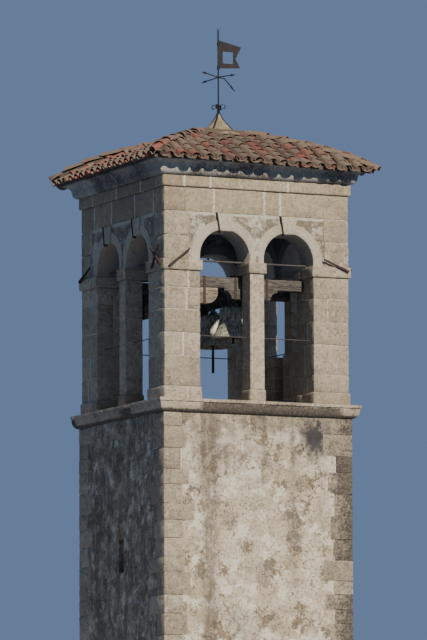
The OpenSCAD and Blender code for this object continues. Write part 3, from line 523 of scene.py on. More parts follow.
def timber_finish(name, pale, dark, along):
    """Weathered timber: grey and brown grain drawn out along the beam, dark drying cracks, tint by piece."""
    f = Finish(name, pale, 0.88)
    drawn = f.stretched([0.9 if axis == along else 14.0 for axis in range(3)])
    grain, fine = f.noise(0.5, 6, 0.65, drawn), f.noise(0.12, 4, 0.6, drawn)
    f.coat(dark, f.total(grain, (f.mark("tint"), 0.25)), 0.42, 0.85)
    f.coat(f.mix(0.5, dark, pale), f.noise(0.25, 4), 0.42, 0.68, 0.6)
    sound = f.step(fine, 0.36, 0.46)
    f.tone = f.mix(sound, (44, 38, 31), f.tone)
    return f.finish(f.total(f.times(grain, 0.5), (sound, 0.8)), 0.006)


LEAF_BACK, LEAF_FACE, PLANK_COUNT = 1.56, 1.62, 6
plank_edges = np.linspace(-DOOR_HALF + 0.002, DOOR_HALF - 0.002, PLANK_COUNT + 1)
planks = [[[a + 0.0015, LEAF_BACK + 0.026, SILL_TOP + 0.004], [b - 0.0015, LEAF_FACE - 0.008, DOOR_TOP - 0.003]]
          for a, b in zip(plank_edges[:-1], plank_edges[1:])]
ledges = [[[-DOOR_HALF + 0.03, LEAF_BACK, z], [DOOR_HALF - 0.03, LEAF_BACK + 0.03, z + 0.14]]
          for z in (0.35, 1.1, 1.82)]
door_wood = timber_finish("door_planks", (124, 104, 80), (74, 58, 44), 2)
dress("door_planks", join(as_blocks(planks, 2, edge=0.006, cells=4, wobble=0.0008),
                          as_blocks(ledges, 2, edge=0.006, cells=3, wobble=0.0005)),
      door_wood, ["door_leaf"])


def specked_metal(name, roughness, metallic, tones, sizes, clouds, specks):
    """Metal of three tones: the second in clouds of the first size, the third in specks of the second size, each
    laid on by its own soft step. Returned unfinished, with both noises."""
    f = Finish(name, tones[0], roughness, metallic)
    cloudy, fine = f.noise(sizes[0], 5, 0.6), f.noise(sizes[1], 4, 0.65)
    f.coat(tones[1], cloudy, *clouds)
    f.coat(tones[2], fine, *specks)
    return f, cloudy, fine


def rust_finish(name, light=1.0):
    """Wrought iron: dark brown scale with orange-brown rust in clouds and specks, rough all over."""
    tones = [tuple(light * c for c in tone) for tone in ((60, 51, 45), (84, 64, 52), (102, 74, 56))]
    f, cloudy, fine = specked_metal(name, 0.82, 0.15, tones, (0.06, 0.012), (0.35, 0.65), (0.5, 0.72, 0.6))
    f.cover((36, 31, 29), f.step(fine, 0.25, 0.4, 0.6, 0.0))
    return f.finish(f.total(fine, cloudy), 0.0015)


def solid(points, faces, **marks):
    """A closed shape as one part. Its faces are turned over where the sum of their signed pyramids says that it is
    inside out."""
    points = points.reshape(-1, 3)
    a, b, c, d = np.moveaxis(points[faces], 1, 0)
    volume = (np.cross(b, c) * a).sum() + (np.cross(c, d) * a).sum()
    return points, faces if volume > 0 else faces[:, ::-1], marks


def loop_faces(rows, columns):
    """Faces of a tube that closes on itself, its last row joined to its first."""
    return tube_faces(rows + 1, columns) % (rows * columns)


rusty_iron = rust_finish("rusted_wrought_iron")
straps = [[[-DOOR_HALF + 0.01, LEAF_FACE - 0.009, z], [0.18, LEAF_FACE - 0.002, z + 0.045]] for z in (0.42, 1.87)]
nails = [[[x - 0.008, LEAF_FACE - 0.009, z - 0.008], [x + 0.008, LEAF_FACE - 0.001, z + 0.008]]
         for z in (0.40, 0.47, 1.15, 1.20, 1.86, 1.93) for x in (plank_edges[:-1] + plank_edges[1:]) / 2]
lock = [[[0.30, LEAF_FACE - 0.009, 1.10], [0.38, LEAF_FACE - 0.003, 1.28]]]
RING_R, RING_STOPS, RING_SIDES = 0.034, 24, 8
turn, small = np.meshgrid(*[np.arange(n) * 2 * np.pi / n for n in (RING_STOPS, RING_SIDES)], indexing="ij")
reach = RING_R + 0.005 * np.cos(small)
ring = np.stack([0.34 + reach * np.cos(turn), LEAF_FACE - 0.004 + 0.004 * np.sin(small),
                 1.15 + reach * np.sin(turn)], -1).reshape(-1, 3)
dress("door_ironwork", join(as_blocks(straps, 2, edge=0.002, cells=4, wobble=0.0004),
                            as_blocks(nails, 2, edge=0.004, cells=3, wobble=0.0003),
                            as_blocks(lock, 2, edge=0.002, cells=3, wobble=0.0002),
                            solid(facing(ring, 2), loop_faces(RING_STOPS, RING_SIDES))), rusty_iron)


# ---- String course: long moulded stones, a quarter round under a square slab, that end the shaft.
# Rain has blackened stretches of it and bitten pieces out of the slab's edge.
def ring_moulding(profile, shares):
    """A closed profile of [out, up] points carried round the four faces and mitred at the corners. On face q the
    columns stand at shares[q] of the way from -out to +out. Its marks are a point's place across and its face."""
    profile = np.asarray(profile, float)
    rows, across, face = [], [], []
    for quarter, share in enumerate(shares):
        out = np.repeat(profile[:, :1], len(share), 1)
        local = np.stack([out * (2 * share - 1), out, np.repeat(profile[:, 1:], len(share), 1)], -1)
        rows.append(facing(local.reshape(-1, 3), quarter).reshape(local.shape))
        across.append(local[:, :, 0])
        face.append(np.full(local.shape[:2], quarter))
    points = np.concatenate(rows, 1)
    return solid(points, loop_faces(*points.shape[:2]), across=np.concatenate(across, 1).ravel(),
                 face=np.concatenate(face, 1).ravel())


COLUMN_STEP = 0.05


def joint_columns(joints, half, gap):
    """Shares along a face from 0 up to 1, a column step apart, with a close pair on each side of every joint."""
    close = [j + k for j in joints for k in (-2.2 * gap, -gap, gap, 2.2 * gap)]
    wide = [x for x in np.arange(-half, half, COLUMN_STEP) if min(abs(x - j) for j in joints) > 3 * gap]
    return (np.sort(np.array(wide + close)) / half + 1) / 2


def weathered_ring(profile, joints, gap, bite, crust):
    """A mitred moulding with mortar joints sunk between its stones, a rough surface and bites out of its edges:
    each point moves in by a joint's depth, by two sizes of cloud, and by bite where a small cloud is high."""
    half = max(p[0] for p in profile)
    points, faces, marks = ring_moulding(profile, [joint_columns(j, half, gap) for j in joints])
    across, face = marks["across"], marks["face"]
    level = np.abs(points[:, :2]).max(1)
    stone, sunk = np.zeros(len(points)), np.zeros(len(points))
    for quarter, places in enumerate(joints):
        here = face == quarter
        stone[here] = np.searchsorted(np.sort(places), across[here]) * 0.37 % 1
        for place in places:
            sunk[here & (np.abs(across * half / np.maximum(level, 0.1) - place) < 1.3 * gap)] = 1.0
    outer = smooth(level, half - 0.45, half - 0.3)
    nose = smooth(level, half - 0.035, half - 0.005)
    move = (0.006 * cloud(points, 0.25, 51) + 0.004 * cloud(points, 0.06, 52) + 0.010 * sunk
            + bite * nose * smooth(cloud(points, 0.09, 53), 0.60, 0.8)) * outer
    inwards = 1 - move / np.maximum(level, 0.5)
    points = points * np.stack([inwards, inwards, np.ones(len(points))], 1)
    points[:, 2] += 0.008 * (cloud(points, 0.8, 54) - 0.5) * outer
    return points, faces, {"mortar": sunk, "tint": stone, "crust": crust(across, face, points)}


def string_stains_and_shade(across, face, points):
    """Dark stretches: on the front between two pairs of places, elsewhere where a long cloud is high, faint on the
    slab above the round. The round's underside is darkened all along as painted shade.
    """
    front = 1.6 * np.maximum(smooth(across, -1.3, -1.0) * (1 - smooth(across, -0.4, -0.15)),
                              smooth(across, -0.1, 0.15) * (1 - smooth(across, 0.65, 0.95)))
    front = np.maximum(front, 0.95 * smooth(across, -1.35, -1.0) * (1 - smooth(across, 1.5, 1.8)))
    other = smooth(cloud(points * [1, 1, 0.2], 0.9, 61), 0.45, 0.7)
    below = smooth(-points[:, 2], -10.15, -10.11)
    # Painted shade: the underside of the round, which faces down, is darkened all along.
    underside_shade = 0.95 * smooth(-points[:, 2], -10.03, -9.97)
    return np.maximum(np.where(face == 0, front, other) * (0.15 + 0.85 * below), underside_shade)


STRING_FOOT, STRING_TOP, STRING_OUT, FLOOR_HALF, FLOOR_FOOT = 9.95, 10.20, 2.08, 1.27, 10.14
turn = np.linspace(0, np.pi / 2, 9)
string_profile = ([(ROOM_HALF, STRING_FOOT), (1.6, STRING_FOOT)]
                  + [(SHAFT_HALF + 0.118 * math.sin(t), STRING_FOOT + 0.19 * (1 - math.cos(t))) for t in turn]
                  + [(STRING_OUT, 10.143), (STRING_OUT, 10.17), (STRING_OUT - 0.004, 10.198), (1.9, STRING_TOP),
                     (FLOOR_HALF, STRING_TOP), (FLOOR_HALF, FLOOR_FOOT), (ROOM_HALF, FLOOR_FOOT)])
STRING_JOINTS = [[-0.95, 0.06, 1.05], [-1.1, -0.2, 0.9], [-0.8, 0.3, 1.2], [-1.2, -0.1, 0.85]]
dress("string_course", weathered_ring(string_profile, STRING_JOINTS, 0.005, 0.022, string_stains_and_shade), ashlar,
      ["string_course_front_back", "string_course_sides"])


# ---- Belfry floor: thick chestnut boards laid from front to back in the rebate of the string course.
# They are grey with weather and lie a little unevenly, with open joints.
BOARD_COUNT = 11
board_edges = np.linspace(-FLOOR_HALF, FLOOR_HALF, BOARD_COUNT + 1)
board_tops = STRING_TOP - dice.uniform(0.0, 0.006, BOARD_COUNT)
grey_boards = timber_finish("floor_boards", (128, 116, 100), (82, 72, 60), 1)
dress("floor_boards", blocks([[a + 0.003, -FLOOR_HALF, FLOOR_FOOT] for a in board_edges[:-1]],
                             [[b - 0.003, FLOOR_HALF, t] for b, t in zip(board_edges[1:], board_tops)],
                             edge=0.006, cells=5, wobble=0.001), grey_boards, ["belfry_floor"])


# ---- Belfry supports: four corner pillars of coursed ashlar and four slim piers, each one tall stone.
# They stand on projecting base blocks and carry square imposts; pale lime mortar fills the upright joints.
BELFRY_HALF, PILLAR_IN, BASE_TOP, IMPOST_FOOT, IMPOST_TOP = 1.90, 1.17, 10.435, 12.60, 12.80
PIER_HALF, PIER_BACK, ARCH_BACK, BASE_OUT, IMPOST_OUT, CORE_IN = 0.145, 1.547, 1.34, 0.025, 0.038, 0.012
PILLAR_COURSES = np.array([0.565, 0.435, 0.43, 0.41, 0.325])
SPLITS = [0, 0.52, 0, 0.62, 0.67]


def corner_stones(quarter):
    """The stones of one corner: courses cut in two by an upright joint on the face, or whole, by turns."""
    order = np.arange(5) if quarter == 0 else dice.permutation(5)
    beds = BASE_TOP + np.concatenate([[0], np.cumsum(PILLAR_COURSES[order])])
    width, low, high, filled = BELFRY_HALF - PILLAR_IN, [], [], []
    for course in range(5):
        split = SPLITS[course] if quarter == 0 else dice.choice([0, 0.4, 0.55, 0.65])
        bottom, top = beds[course] + 0.004, beds[course + 1] - 0.004
        face = dice.uniform(0.0, 0.006, 2) - BELFRY_HALF
        if split:
            cut = -BELFRY_HALF + width * split
            low += [[face[0], face[1], bottom], [cut + 0.02, face[1] + 0.001, bottom]]
            high += [[cut - 0.02, -PILLAR_IN, top], [-PILLAR_IN, -PILLAR_IN, top]]
            filled.append([[cut - 0.024, face[1] + 0.004, bottom], [cut + 0.024, -PILLAR_IN - 0.004, top]])
        else:
            cut = -BELFRY_HALF + width * dice.uniform(0.4, 0.6)
            low += [[face[0], face[1], bottom], [face[0] + 0.001, cut + 0.008, bottom]]
            high += [[-PILLAR_IN, cut - 0.008, top], [-PILLAR_IN, -PILLAR_IN, top]]
            filled.append([[face[0] + 0.006, cut - 0.012, bottom], [-PILLAR_IN - 0.006, cut + 0.012, top]])
    filled = np.array(filled)
    core = blocks([CORE_IN - BELFRY_HALF] * 2 + [BASE_TOP], [-PILLAR_IN - CORE_IN] * 2 + [IMPOST_FOOT],
                  mortar=1.0, wobble=0)
    return turned(join(blocks(low, high, 0.014, 5, 0.0022),
                       blocks(filled[:, 0], filled[:, 1], 0.006, 5, 0.002, 1.0), core), quarter)


def ledge_stones(quarter, out, foot, top, pier_back, worn):
    """Base blocks or imposts at one corner and the pier beside it: the corner's two stones and the pier's one."""
    near, far = -BELFRY_HALF - out, -PILLAR_IN + out
    cut = near + (far - near) * dice.uniform(0.6, 0.7)
    low = [[near, near, foot], [cut + 0.006, near, foot], [-PIER_HALF - out, near, foot]]
    high = [[cut - 0.006, far, top], [far, far, top], [PIER_HALF + out, -pier_back, top]]
    core = blocks([near + CORE_IN] * 2 + [foot], [far - CORE_IN] * 2 + [top], wobble=0, mortar=1.0)
    return turned(join(blocks(low, high, worn, 5, 0.0025), core), quarter)


def pier_stone(quarter):
    """The tall stone between the two openings of one face."""
    return as_blocks([[[-PIER_HALF, PIER_BACK, BASE_TOP], [PIER_HALF, BELFRY_HALF, IMPOST_FOOT]]], quarter,
                     edge=0.012, cells=14, wobble=0.0015)


dress("base_stones", four(ledge_stones, BASE_OUT, STRING_TOP, BASE_TOP, PIER_BACK - BASE_OUT, 0.03), ashlar,
      ["base_blocks"])
dress("pillar_stones", four(corner_stones), ashlar, ["corner_pillars"])
dress("pier_stones", four(pier_stone), ashlar, ["centre_piers"])
dress("impost_stones", four(ledge_stones, IMPOST_OUT, IMPOST_FOOT, IMPOST_TOP, ARCH_BACK, 0.014), ashlar,
      ["imposts"])


# ---- Parapets: low walls of small coursed stones that close the foot of the two openings on the right face.
# They stand between the base blocks, under the arches, and are of the same stone as the pillars.
PARAPET_BACK, PARAPET_FACE, PARAPET_TOP, PARAPET_ENDS = 1.347, 1.547, 11.305, np.array([0.17, 1.145])


def parapet_stones(side):
    """One low wall: five beds of stones of uneven length, with staggered joints, over a mortar core."""
    ends = np.sort(side * PARAPET_ENDS)
    boxes = []
    for bottom, top in courses(STRING_TOP, PARAPET_TOP, 0.22, 0.25):
        cuts = courses(ends[0], ends[1], dice.uniform(0.26, 0.36), 0.3, 0.012)
        boxes += [[[a, PARAPET_FACE - dice.uniform(0, 0.006), bottom], [b, PARAPET_BACK + 0.004, top]]
                  for a, b in cuts]
    core = as_blocks([[[ends[0] + 0.01, PARAPET_BACK + 0.012, STRING_TOP],
                       [ends[1] - 0.01, PARAPET_FACE - 0.014, PARAPET_TOP - 0.01]]], 1, wobble=0, mortar=1.0)
    return join(as_blocks(boxes, 1, edge=0.014, cells=3), core)


dress("parapet_stones", join(parapet_stones(-1), parapet_stones(1)), ashlar, ["right_parapets"])


# ---- Arch walls: a ring of smooth voussoirs round each arch, rubble and lime mortar in the spandrels,
# squared stones at the ends, and a frieze of long blocks on top with broad pale mortar in its upright joints.
ARCH_MID, ARCH_R, SPRING, WALL_TOP, FRIEZE_FOOT, RING_W = 0.6575, 0.5125, 12.88, 14.1525, 13.6965, 0.18
RING_SHARES, SPANDREL_ROWS, PANEL_END = (0, 0.06, 0.35, 0.7, 1.0), 13, 1.875


def arch_panel(side):
    """One arch and the wall round it: columns are rays from the arch's centre, level ones down its stilts, and rows
    run along each ray from the intrados, over the ring, to the panel's edge. Depth is small on the ring, and beyond
    it a rough cloud. The same grid stands at the back, and strips join the two round every edge."""
    run, rise = PANEL_END - ARCH_MID, WALL_TOP - SPRING
    corners = [math.atan2(rise, -ARCH_MID), math.atan2(rise, run)]
    angle = np.unique(np.round(np.concatenate([np.linspace(0, np.pi, 43), corners]), 6))[::-1]
    stilts = np.linspace(IMPOST_TOP, SPRING, 4)[:-1]
    base = np.concatenate([stilts, np.full(len(angle), SPRING), stilts[::-1]])
    angle = np.concatenate([np.full(3, np.pi), angle, np.zeros(3)])
    cosine, sine = np.cos(angle), np.maximum(np.sin(angle), 1e-9)
    reach = np.minimum(np.where(cosine > 1e-6, run / np.maximum(cosine, 1e-6),
                                ARCH_MID / np.maximum(-cosine, 1e-6)), rise / sine)
    ring = np.minimum(RING_W, 0.8 * (reach - ARCH_R))
    beyond = ARCH_R + ring + 0.004
    radius = np.stack([ARCH_R + ring * s for s in RING_SHARES]
                      + [beyond + (reach - beyond) * s for s in np.linspace(0, 1, SPANDREL_ROWS)], 1)
    a = ARCH_MID + radius * cosine[:, None]
    u = base[:, None] + radius * sine[:, None] * (sine[:, None] > 1e-6)
    on_ring = np.zeros(radius.shape)
    on_ring[:, :len(RING_SHARES)] = 1.0
    flat = np.stack([side * a.ravel(), u.ravel(), np.zeros(a.size)], 1)
    rough, even = 0.004 + 0.018 * cloud(flat, 0.08, 71), 0.002 + 0.003 * cloud(flat, 0.2, 72)
    depth = np.where(on_ring > 0, even.reshape(a.shape), rough.reshape(a.shape))
    depth[:, 0] += 0.008
    keep = np.ones((a.shape[0] - 1, a.shape[1] - 1), bool)
    points, faces = relief_slab(side * a, u, depth, BELFRY_HALF - ARCH_BACK, keep)
    limed = smooth(u.ravel(), FRIEZE_FOOT - 0.07, FRIEZE_FOOT - 0.01)
    # The inner mark, 0 on the face and 1 at the back, carries a painted shade for the inside of the belfry.
    return points, faces if side > 0 else faces[:, ::-1], {
        "ring": np.tile(on_ring.ravel(), 2), "limed": np.tile(limed, 2), "inner": np.repeat([0.0, 1.0], a.size)}


def spandrel_finish():
    """Ring stones pale and smooth; beyond them small rubble, mixed grey and brown, half hidden under pale lime, and
    a blue-grey painted shade laid over the wall towards the inside of the belfry."""
    f = Finish("spandrel_rubble", (196, 180, 152), 0.94)
    waves = f.add("ShaderNodeTexNoise", {"Vector": f.place, "Scale": 9.0, "Detail": 3.0}).outputs["Color"]
    warped = f.add("ShaderNodeMix", {0: 0.08, 4: f.place, 5: waves}, data_type="VECTOR").outputs[1]
    joints = f.cells(0.085, warped, "DISTANCE_TO_EDGE")
    fine, cloudy, grain = f.noise(0.04, 6, 0.7), f.noise(0.35, 5, 0.6), f.noise(0.012, 3)
    f.coat((150, 138, 116), f.cells(0.085, warped, "F1", "Color"), 0.2, 0.8)
    f.coat((108, 96, 78), fine, 0.48, 0.68, 0.8)
    f.cover((112, 98, 78), f.step(joints, 0.0, 0.10, 0.7, 0.0))
    lime = f.mix(f.step(fine, 0.4, 0.7), (230, 218, 194), (204, 190, 164))
    f.tone = f.mix(f.step(f.total(cloudy, (fine, 0.35)), 0.52, 0.66), lime, f.tone)
    f.coat((156, 132, 98), f.noise(0.2, 5, 0.65), 0.59, 0.64, 0.85)
    f.coat(lime, f.total(f.mark("limed"), fine), 0.75, 1.05)
    dressed = f.mix(f.step(f.total(fine, cloudy), 0.8, 1.3), (220, 205, 176), (196, 180, 150))
    f.cover(f.mix(f.step(grain, 0.45, 0.7, 0.0, 0.4), dressed, (172, 158, 132)), f.mark("ring"))
    # Painted shade: a blue-grey laid over the back half of the wall, inside the belfry.
    f.cover((90, 99, 116), f.times(f.mark("inner"), 0.5))
    return f.finish(f.total(f.times(f.step(joints, 0.0, 0.12), 0.5), f.total(fine, grain)), 0.010)


spandrel = spandrel_finish()
FRIEZE_CUTS = [[-0.885, 0.157, 0.485, 1.57], [-1.2, -0.35, 0.6, 1.35], [-0.7, 0.25, 1.3], [-1.3, -0.5, 0.55, 1.4]]
FRONT_ENDS = [(-1.9, -1.39, 12.805, 13.243), (-1.9, -1.37, 13.252, 13.69), (1.40, 1.9, 12.805, 13.27),
              (1.385, 1.56, 13.28, 13.69), (1.58, 1.9, 13.28, 13.69)]


def long_stones(quarter, cuts, half, back, foot, top, head, gap, bulge, sunk, worn, cells):
    """One face's row of long blocks, a gap back from each cut, with mortar as wide as its bulge in the upright
    joints."""
    ends = [-half, *cuts[quarter], half]
    boxes = [[[a + (gap if a > -half else 0), back, foot + 0.006],
              [b - (gap if b < half else 0), half - dice.uniform(0, 0.005), top - head]]
             for a, b in zip(ends[:-1], ends[1:])]
    filled = [[[c - bulge, back + 0.05, foot + 0.004], [c + bulge, half - sunk, top]] for c in cuts[quarter]]
    return join(as_blocks(boxes, quarter, edge=worn, cells=6, wobble=0.0025),
                as_blocks(filled, quarter, edge=0.008, cells=cells, wobble=0.003, mortar=1.0))


def end_stones(quarter):
    """The squared stones beside the arches, two or three over each corner pillar."""
    ends = FRONT_ENDS if quarter == 0 else [
        (s * 1.9, s * (1.9 - dice.uniform(0.4, 0.55)), z, z + 0.43) for s in (-1, 1) for z in (12.81, 13.255)]
    boxes = [[[min(a, b), 1.5, foot], [max(a, b), BELFRY_HALF - dice.uniform(0, 0.004), top]]
             for a, b, foot, top in ends]
    return as_blocks(boxes, quarter, edge=0.014, cells=6, wobble=0.0025)


for quarter, name in enumerate(("front", "right", "back", "left")):
    points, faces, marks = join(arch_panel(-1), arch_panel(1))
    dress(name + "_arches", (facing(points, quarter, BELFRY_HALF), faces, marks), spandrel,
          ["arch_wall_" + name])
tan_stone = stone_finish("tan_limestone", (204, 184, 148), (172, 152, 120), (118, 104, 82), (240, 228, 202), 0.35)
dress("frieze_stones", four(long_stones, FRIEZE_CUTS, BELFRY_HALF, 1.45, FRIEZE_FOOT, WALL_TOP, 0,
                            0.022, 0.03, 0.006, 0.014, 5), tan_stone)
dress("wall_end_stones", four(end_stones), ashlar)

KEY_FOOT, KEY_TOP, KEY_FACE, KEY_LOW_W, KEY_HIGH_W = 13.3645, 13.6965, 1.922, 0.228, 0.34


def splayed(block, quarter, side, widths, shifts=(0, 0)):
    """A block over one arch of a face. Its width is multiplied, and its place across shifted, by values that run
    evenly from the first of each pair at the keystone's foot to the second at its head."""
    points, faces, marks = block
    share = (points[:, 2] - KEY_FOOT) / (KEY_TOP - KEY_FOOT)
    width, shift = [low + (high - low) * share for low, high in (widths, shifts)]
    points[:, 0] = points[:, 0] * width + side * ARCH_MID + shift
    return solid(facing(points, quarter), faces, **marks)


pale_stone = stone_finish("pale_limestone", (222, 208, 180), (198, 182, 154), (132, 118, 96), (240, 230, 206), 0.2)
dress("keystone_blocks", join(*[
    splayed(blocks([-0.5, ARCH_BACK, KEY_FOOT], [0.5, KEY_FACE, KEY_TOP], 0.012, 6), q, side,
            (KEY_LOW_W, KEY_HIGH_W))
    for q in range(4) for side in (-1, 1)]), pale_stone, ["keystones"])


# ---- Iron wedges: a thin rusted plate driven into the joint on the left of each keystone.
# Each follows the keystone's side and stands a finger's width out of the wall.
WEDGE_AWAY = 0.004
dress("keystone_wedges", join(*[
    splayed(blocks([-0.011, 1.86, 13.33], [0.011, 1.936, 13.70], 0.003, 4, 0.0015), q, side, (0.6, 1.1),
            (-KEY_LOW_W / 2 - WEDGE_AWAY, -KEY_HIGH_W / 2 - WEDGE_AWAY))
    for q in range(4) for side in (-1, 1)]), rusty_iron)


# ---- Cornice: a band of squared stones, then a round and a hollow run in lime mortar, up to a thin fillet.
# The eaves' tiles throw a scalloped shadow on it, and it is mitred at the corners.
BAND_HALF, BAND_TOP, CORNICE_HALF, CORNICE_TOP, ROUND_R, HOLLOW_R = 1.94, 14.3705, 2.19, 14.6525, 0.10, 0.15
BAND_CUTS = [[-1.5, -0.97, 0.63], [-1.0, 0.1, 1.2], [-0.9, 0.5], [-1.3, -0.2, 0.9]]
CORNICE_JOINTS = [[-0.6, 0.9], [-0.3, 1.1], [0.2], [-0.9, 0.5]]
ROOF_PITCH = math.radians(22)
dress("band_stones", four(long_stones, BAND_CUTS, BAND_HALF, 1.55, WALL_TOP, BAND_TOP, 0.004,
                          0.02, 0.028, 0.005, 0.016, 4), tan_stone)


def cornice_crust(across, face, points):
    """Dark where a long cloud is high."""
    return 0.5 * smooth(cloud(points * [1, 1, 0.3], 0.7, 66), 0.5, 0.8)


turn = np.linspace(0, np.pi / 2, 8)
cornice_profile = ([(ARCH_BACK, WALL_TOP + 0.02), (BAND_HALF - 0.02, WALL_TOP + 0.02), (BAND_HALF - 0.02, BAND_TOP)]
                   + [(BAND_HALF + ROUND_R * math.sin(t), BAND_TOP + ROUND_R * (1 - math.cos(t))) for t in turn]
                   + [(CORNICE_HALF - HOLLOW_R * math.cos(t), BAND_TOP + ROUND_R + HOLLOW_R * math.sin(t))
                      for t in turn[1:]]
                   + [(x, CORNICE_TOP + (CORNICE_HALF - x) * math.tan(ROOF_PITCH))
                      for x in (CORNICE_HALF, 1.8, ARCH_BACK)])
run_mortar = stone_finish("grey_run_mortar", (200, 192, 174), (168, 160, 144), (118, 110, 98), (206, 198, 180))
dress("cornice_moulding", weathered_ring(cornice_profile, CORNICE_JOINTS, 0.003, 0.012, cornice_crust), run_mortar,
      ["cornice_front_back", "cornice_sides"])


# ---- Roof: barrel tiles of fired clay, hollow side up as channels and hollow side down as covers over the joints.
# They lie loose in lime mortar on the sloped wall heads, seven courses deep, and their noses hang past the cornice.
EAVE_HALF, EAVE_FOOT = 2.385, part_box("roof_slopes_front_back")[0].z
ROOF_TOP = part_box("roof_slopes_front_back")[1].z
TILE_PITCH, TILE_LENGTH, TILE_T, COURSE_COUNT = 0.26, 0.42, 0.014, 7
TILE_ARC, TILE_ROWS = 6, 2
CAP_SEAT, EAVE_SAGS = 0.44, [0.055, 0.0, 0.02, 0.0]
SLOPE_RUN = (EAVE_HALF - CAP_SEAT) / math.cos(ROOF_PITCH)


def tile_finish_made():
    """Fired clay: each tile orange, pink, ochre or brown by its own tint, dulled by grey and ochre lichen; the bed
    under the tiles is mortar in dark browns, darkened as painted shade."""
    f = Finish("clay_tiles", (168, 98, 78), 0.9)
    tint, cloudy, fine, grain = f.mark("tint"), f.noise(0.12, 5, 0.6), f.noise(0.03, 5, 0.7), f.noise(0.008, 2)
    f.coat((150, 108, 92), tint, 0.08, 0.3)
    f.coat((154, 130, 104), tint, 0.35, 0.6)
    f.coat((112, 88, 76), tint, 0.8, 1.0)
    f.coat((84, 72, 64), fine, 0.35, 0.75, 0.6)
    lichen = f.mix(fine, (162, 142, 112), (112, 98, 84))
    f.coat(lichen, f.total(cloudy, (f.mark("age"), 0.3)), 0.55, 0.8, 0.85)
    f.coat((82, 68, 58), f.noise(0.05, 4, 0.6), 0.58, 0.70, 0.75)
    # Painted shade: the bed's mortar takes dark brown tones, as in the shade under the tiles.
    f.cover(f.mix(fine, (120, 102, 80), (84, 70, 56)), f.mark("bed"))
    return f.finish(f.total(fine, (grain, 0.3)), 0.006)


def lidded_faces(rows, columns):
    """Faces of a tube, closed at both ends by strips between mirrored points."""
    step = np.arange(columns // 2 - 1)
    lid = np.stack([step, step + 1, columns - 2 - step, columns - 1 - step], 1)
    return np.concatenate([tube_faces(rows, columns), lid[:, ::-1], lid + (rows - 1) * columns])


def barrel_tiles(low_r, high_r, length):
    """Half-round tiles, one for each pair of end radii: an arc of 180 degrees, a little flattened, whose radius
    runs evenly from the low end to the high end, with the same arc less the clay's thickness as its inner face.
    Returned as [tile, point, (across, run, rise)] over the springing line, with the faces of one tile."""
    turn, share = np.linspace(0, np.pi, TILE_ARC + 1), np.linspace(0, 1, TILE_ROWS + 1)
    radius = (low_r[:, None] + (high_r - low_r)[:, None] * share)[:, :, None]
    run = (length[:, None] * share)[:, :, None]
    rims = [np.stack(np.broadcast_arrays(-(radius - inset) * np.cos(angles), run,
                                         0.86 * (radius - inset) * np.sin(angles)), -1)
            for inset, angles in ((0.0, turn), (TILE_T, turn[::-1]))]
    return np.concatenate(rims, 2).reshape(len(low_r), -1, 3), lidded_faces(TILE_ROWS + 1, 2 * (TILE_ARC + 1))


def on_slope(tiles):
    """[across, run, rise] on a slope, run measured up from the eave, as [across, outwards, up]."""
    a, run, rise = np.moveaxis(tiles, -1, 0)
    out = EAVE_HALF - run * math.cos(ROOF_PITCH) + rise * math.sin(ROOF_PITCH)
    return np.stack([a, out, EAVE_FOOT + run * math.sin(ROOF_PITCH) + rise * math.cos(ROOF_PITCH)], -1)


def tiled_slope(quarter):
    """Channels, then covers between them, in courses, each tile turned and shifted a little and cut at the hips.
    The slope bellies up in the middle and climbs to meet the hips, and its eave sags towards one end."""
    parts = []
    gauge = (SLOPE_RUN - 0.1) / COURSE_COUNT
    for cover in (False, True):
        columns = (np.arange(-9, 9) + 0.5) * TILE_PITCH if cover else np.arange(-8, 9) * TILE_PITCH
        x, course = [g.ravel() for g in np.meshgrid(columns, np.arange(COURSE_COUNT))]
        count = len(x)
        at_eave, above = dice.uniform(-0.012, 0.03, count), dice.uniform(-0.03, 0.03, count)
        run = course * gauge + (0.075 if cover else 0.03) + np.where(course == 0, at_eave, above)
        x = x + dice.normal(0, 0.011, count)
        low_r, high_r = (0.102, 0.084) if cover else (0.108, 0.112)
        scale = dice.uniform(0.94, 1.05, count)
        tiles, faces = barrel_tiles(low_r * scale, high_r * scale, TILE_LENGTH + dice.uniform(-0.02, 0.02, count))
        yaw, roll = dice.normal(0, 0.032, count)[:, None], dice.normal(0, 0.03, count)[:, None]
        a, along, h = np.moveaxis(tiles, -1, 0)
        rise = h + 0.040 if cover else 0.084 - 0.74 * h
        rise = rise + 0.030 * (1 - along / TILE_LENGTH) - 0.012 + a * roll
        rise = rise + dice.uniform(-0.006, 0.004, count)[:, None]
        run = run[:, None] + along
        up = run / SLOPE_RUN
        from_hip = EAVE_HALF - run * math.cos(ROOF_PITCH) - np.abs(x)[:, None]
        climb = smooth(up, 0.03, 0.25) * (1 - smooth(up, 0.75, 1.0)) * (1 - smooth(from_hip, 0.0, 0.55))
        sag = EAVE_SAGS[quarter] * smooth(x, -0.9, 1.9)[:, None] * np.clip(1 - up, 0, 1)
        rise = rise + 0.065 * climb - sag + 0.045 * np.sin(np.pi * np.clip(up, 0, 1)) ** 1.5
        placed = on_slope(np.stack([x[:, None] + a + along * yaw, run, rise], -1))
        placed = placed[np.abs(x) < placed[:, :, 1].mean(1) + 0.13]
        tint = dice.random(len(placed))
        limit = placed[:, :, 1] + 0.01
        placed[:, :, 0] = np.clip(placed[:, :, 0], -limit, limit)
        placed[:, :, 1] = np.minimum(placed[:, :, 1], EAVE_HALF - 0.002)
        part = many(placed, faces if cover else faces[:, ::-1], tint=tint, age=dice.random(len(placed)))
        parts.append((facing(part[0], quarter), part[1], part[2]))
    return join(*parts)


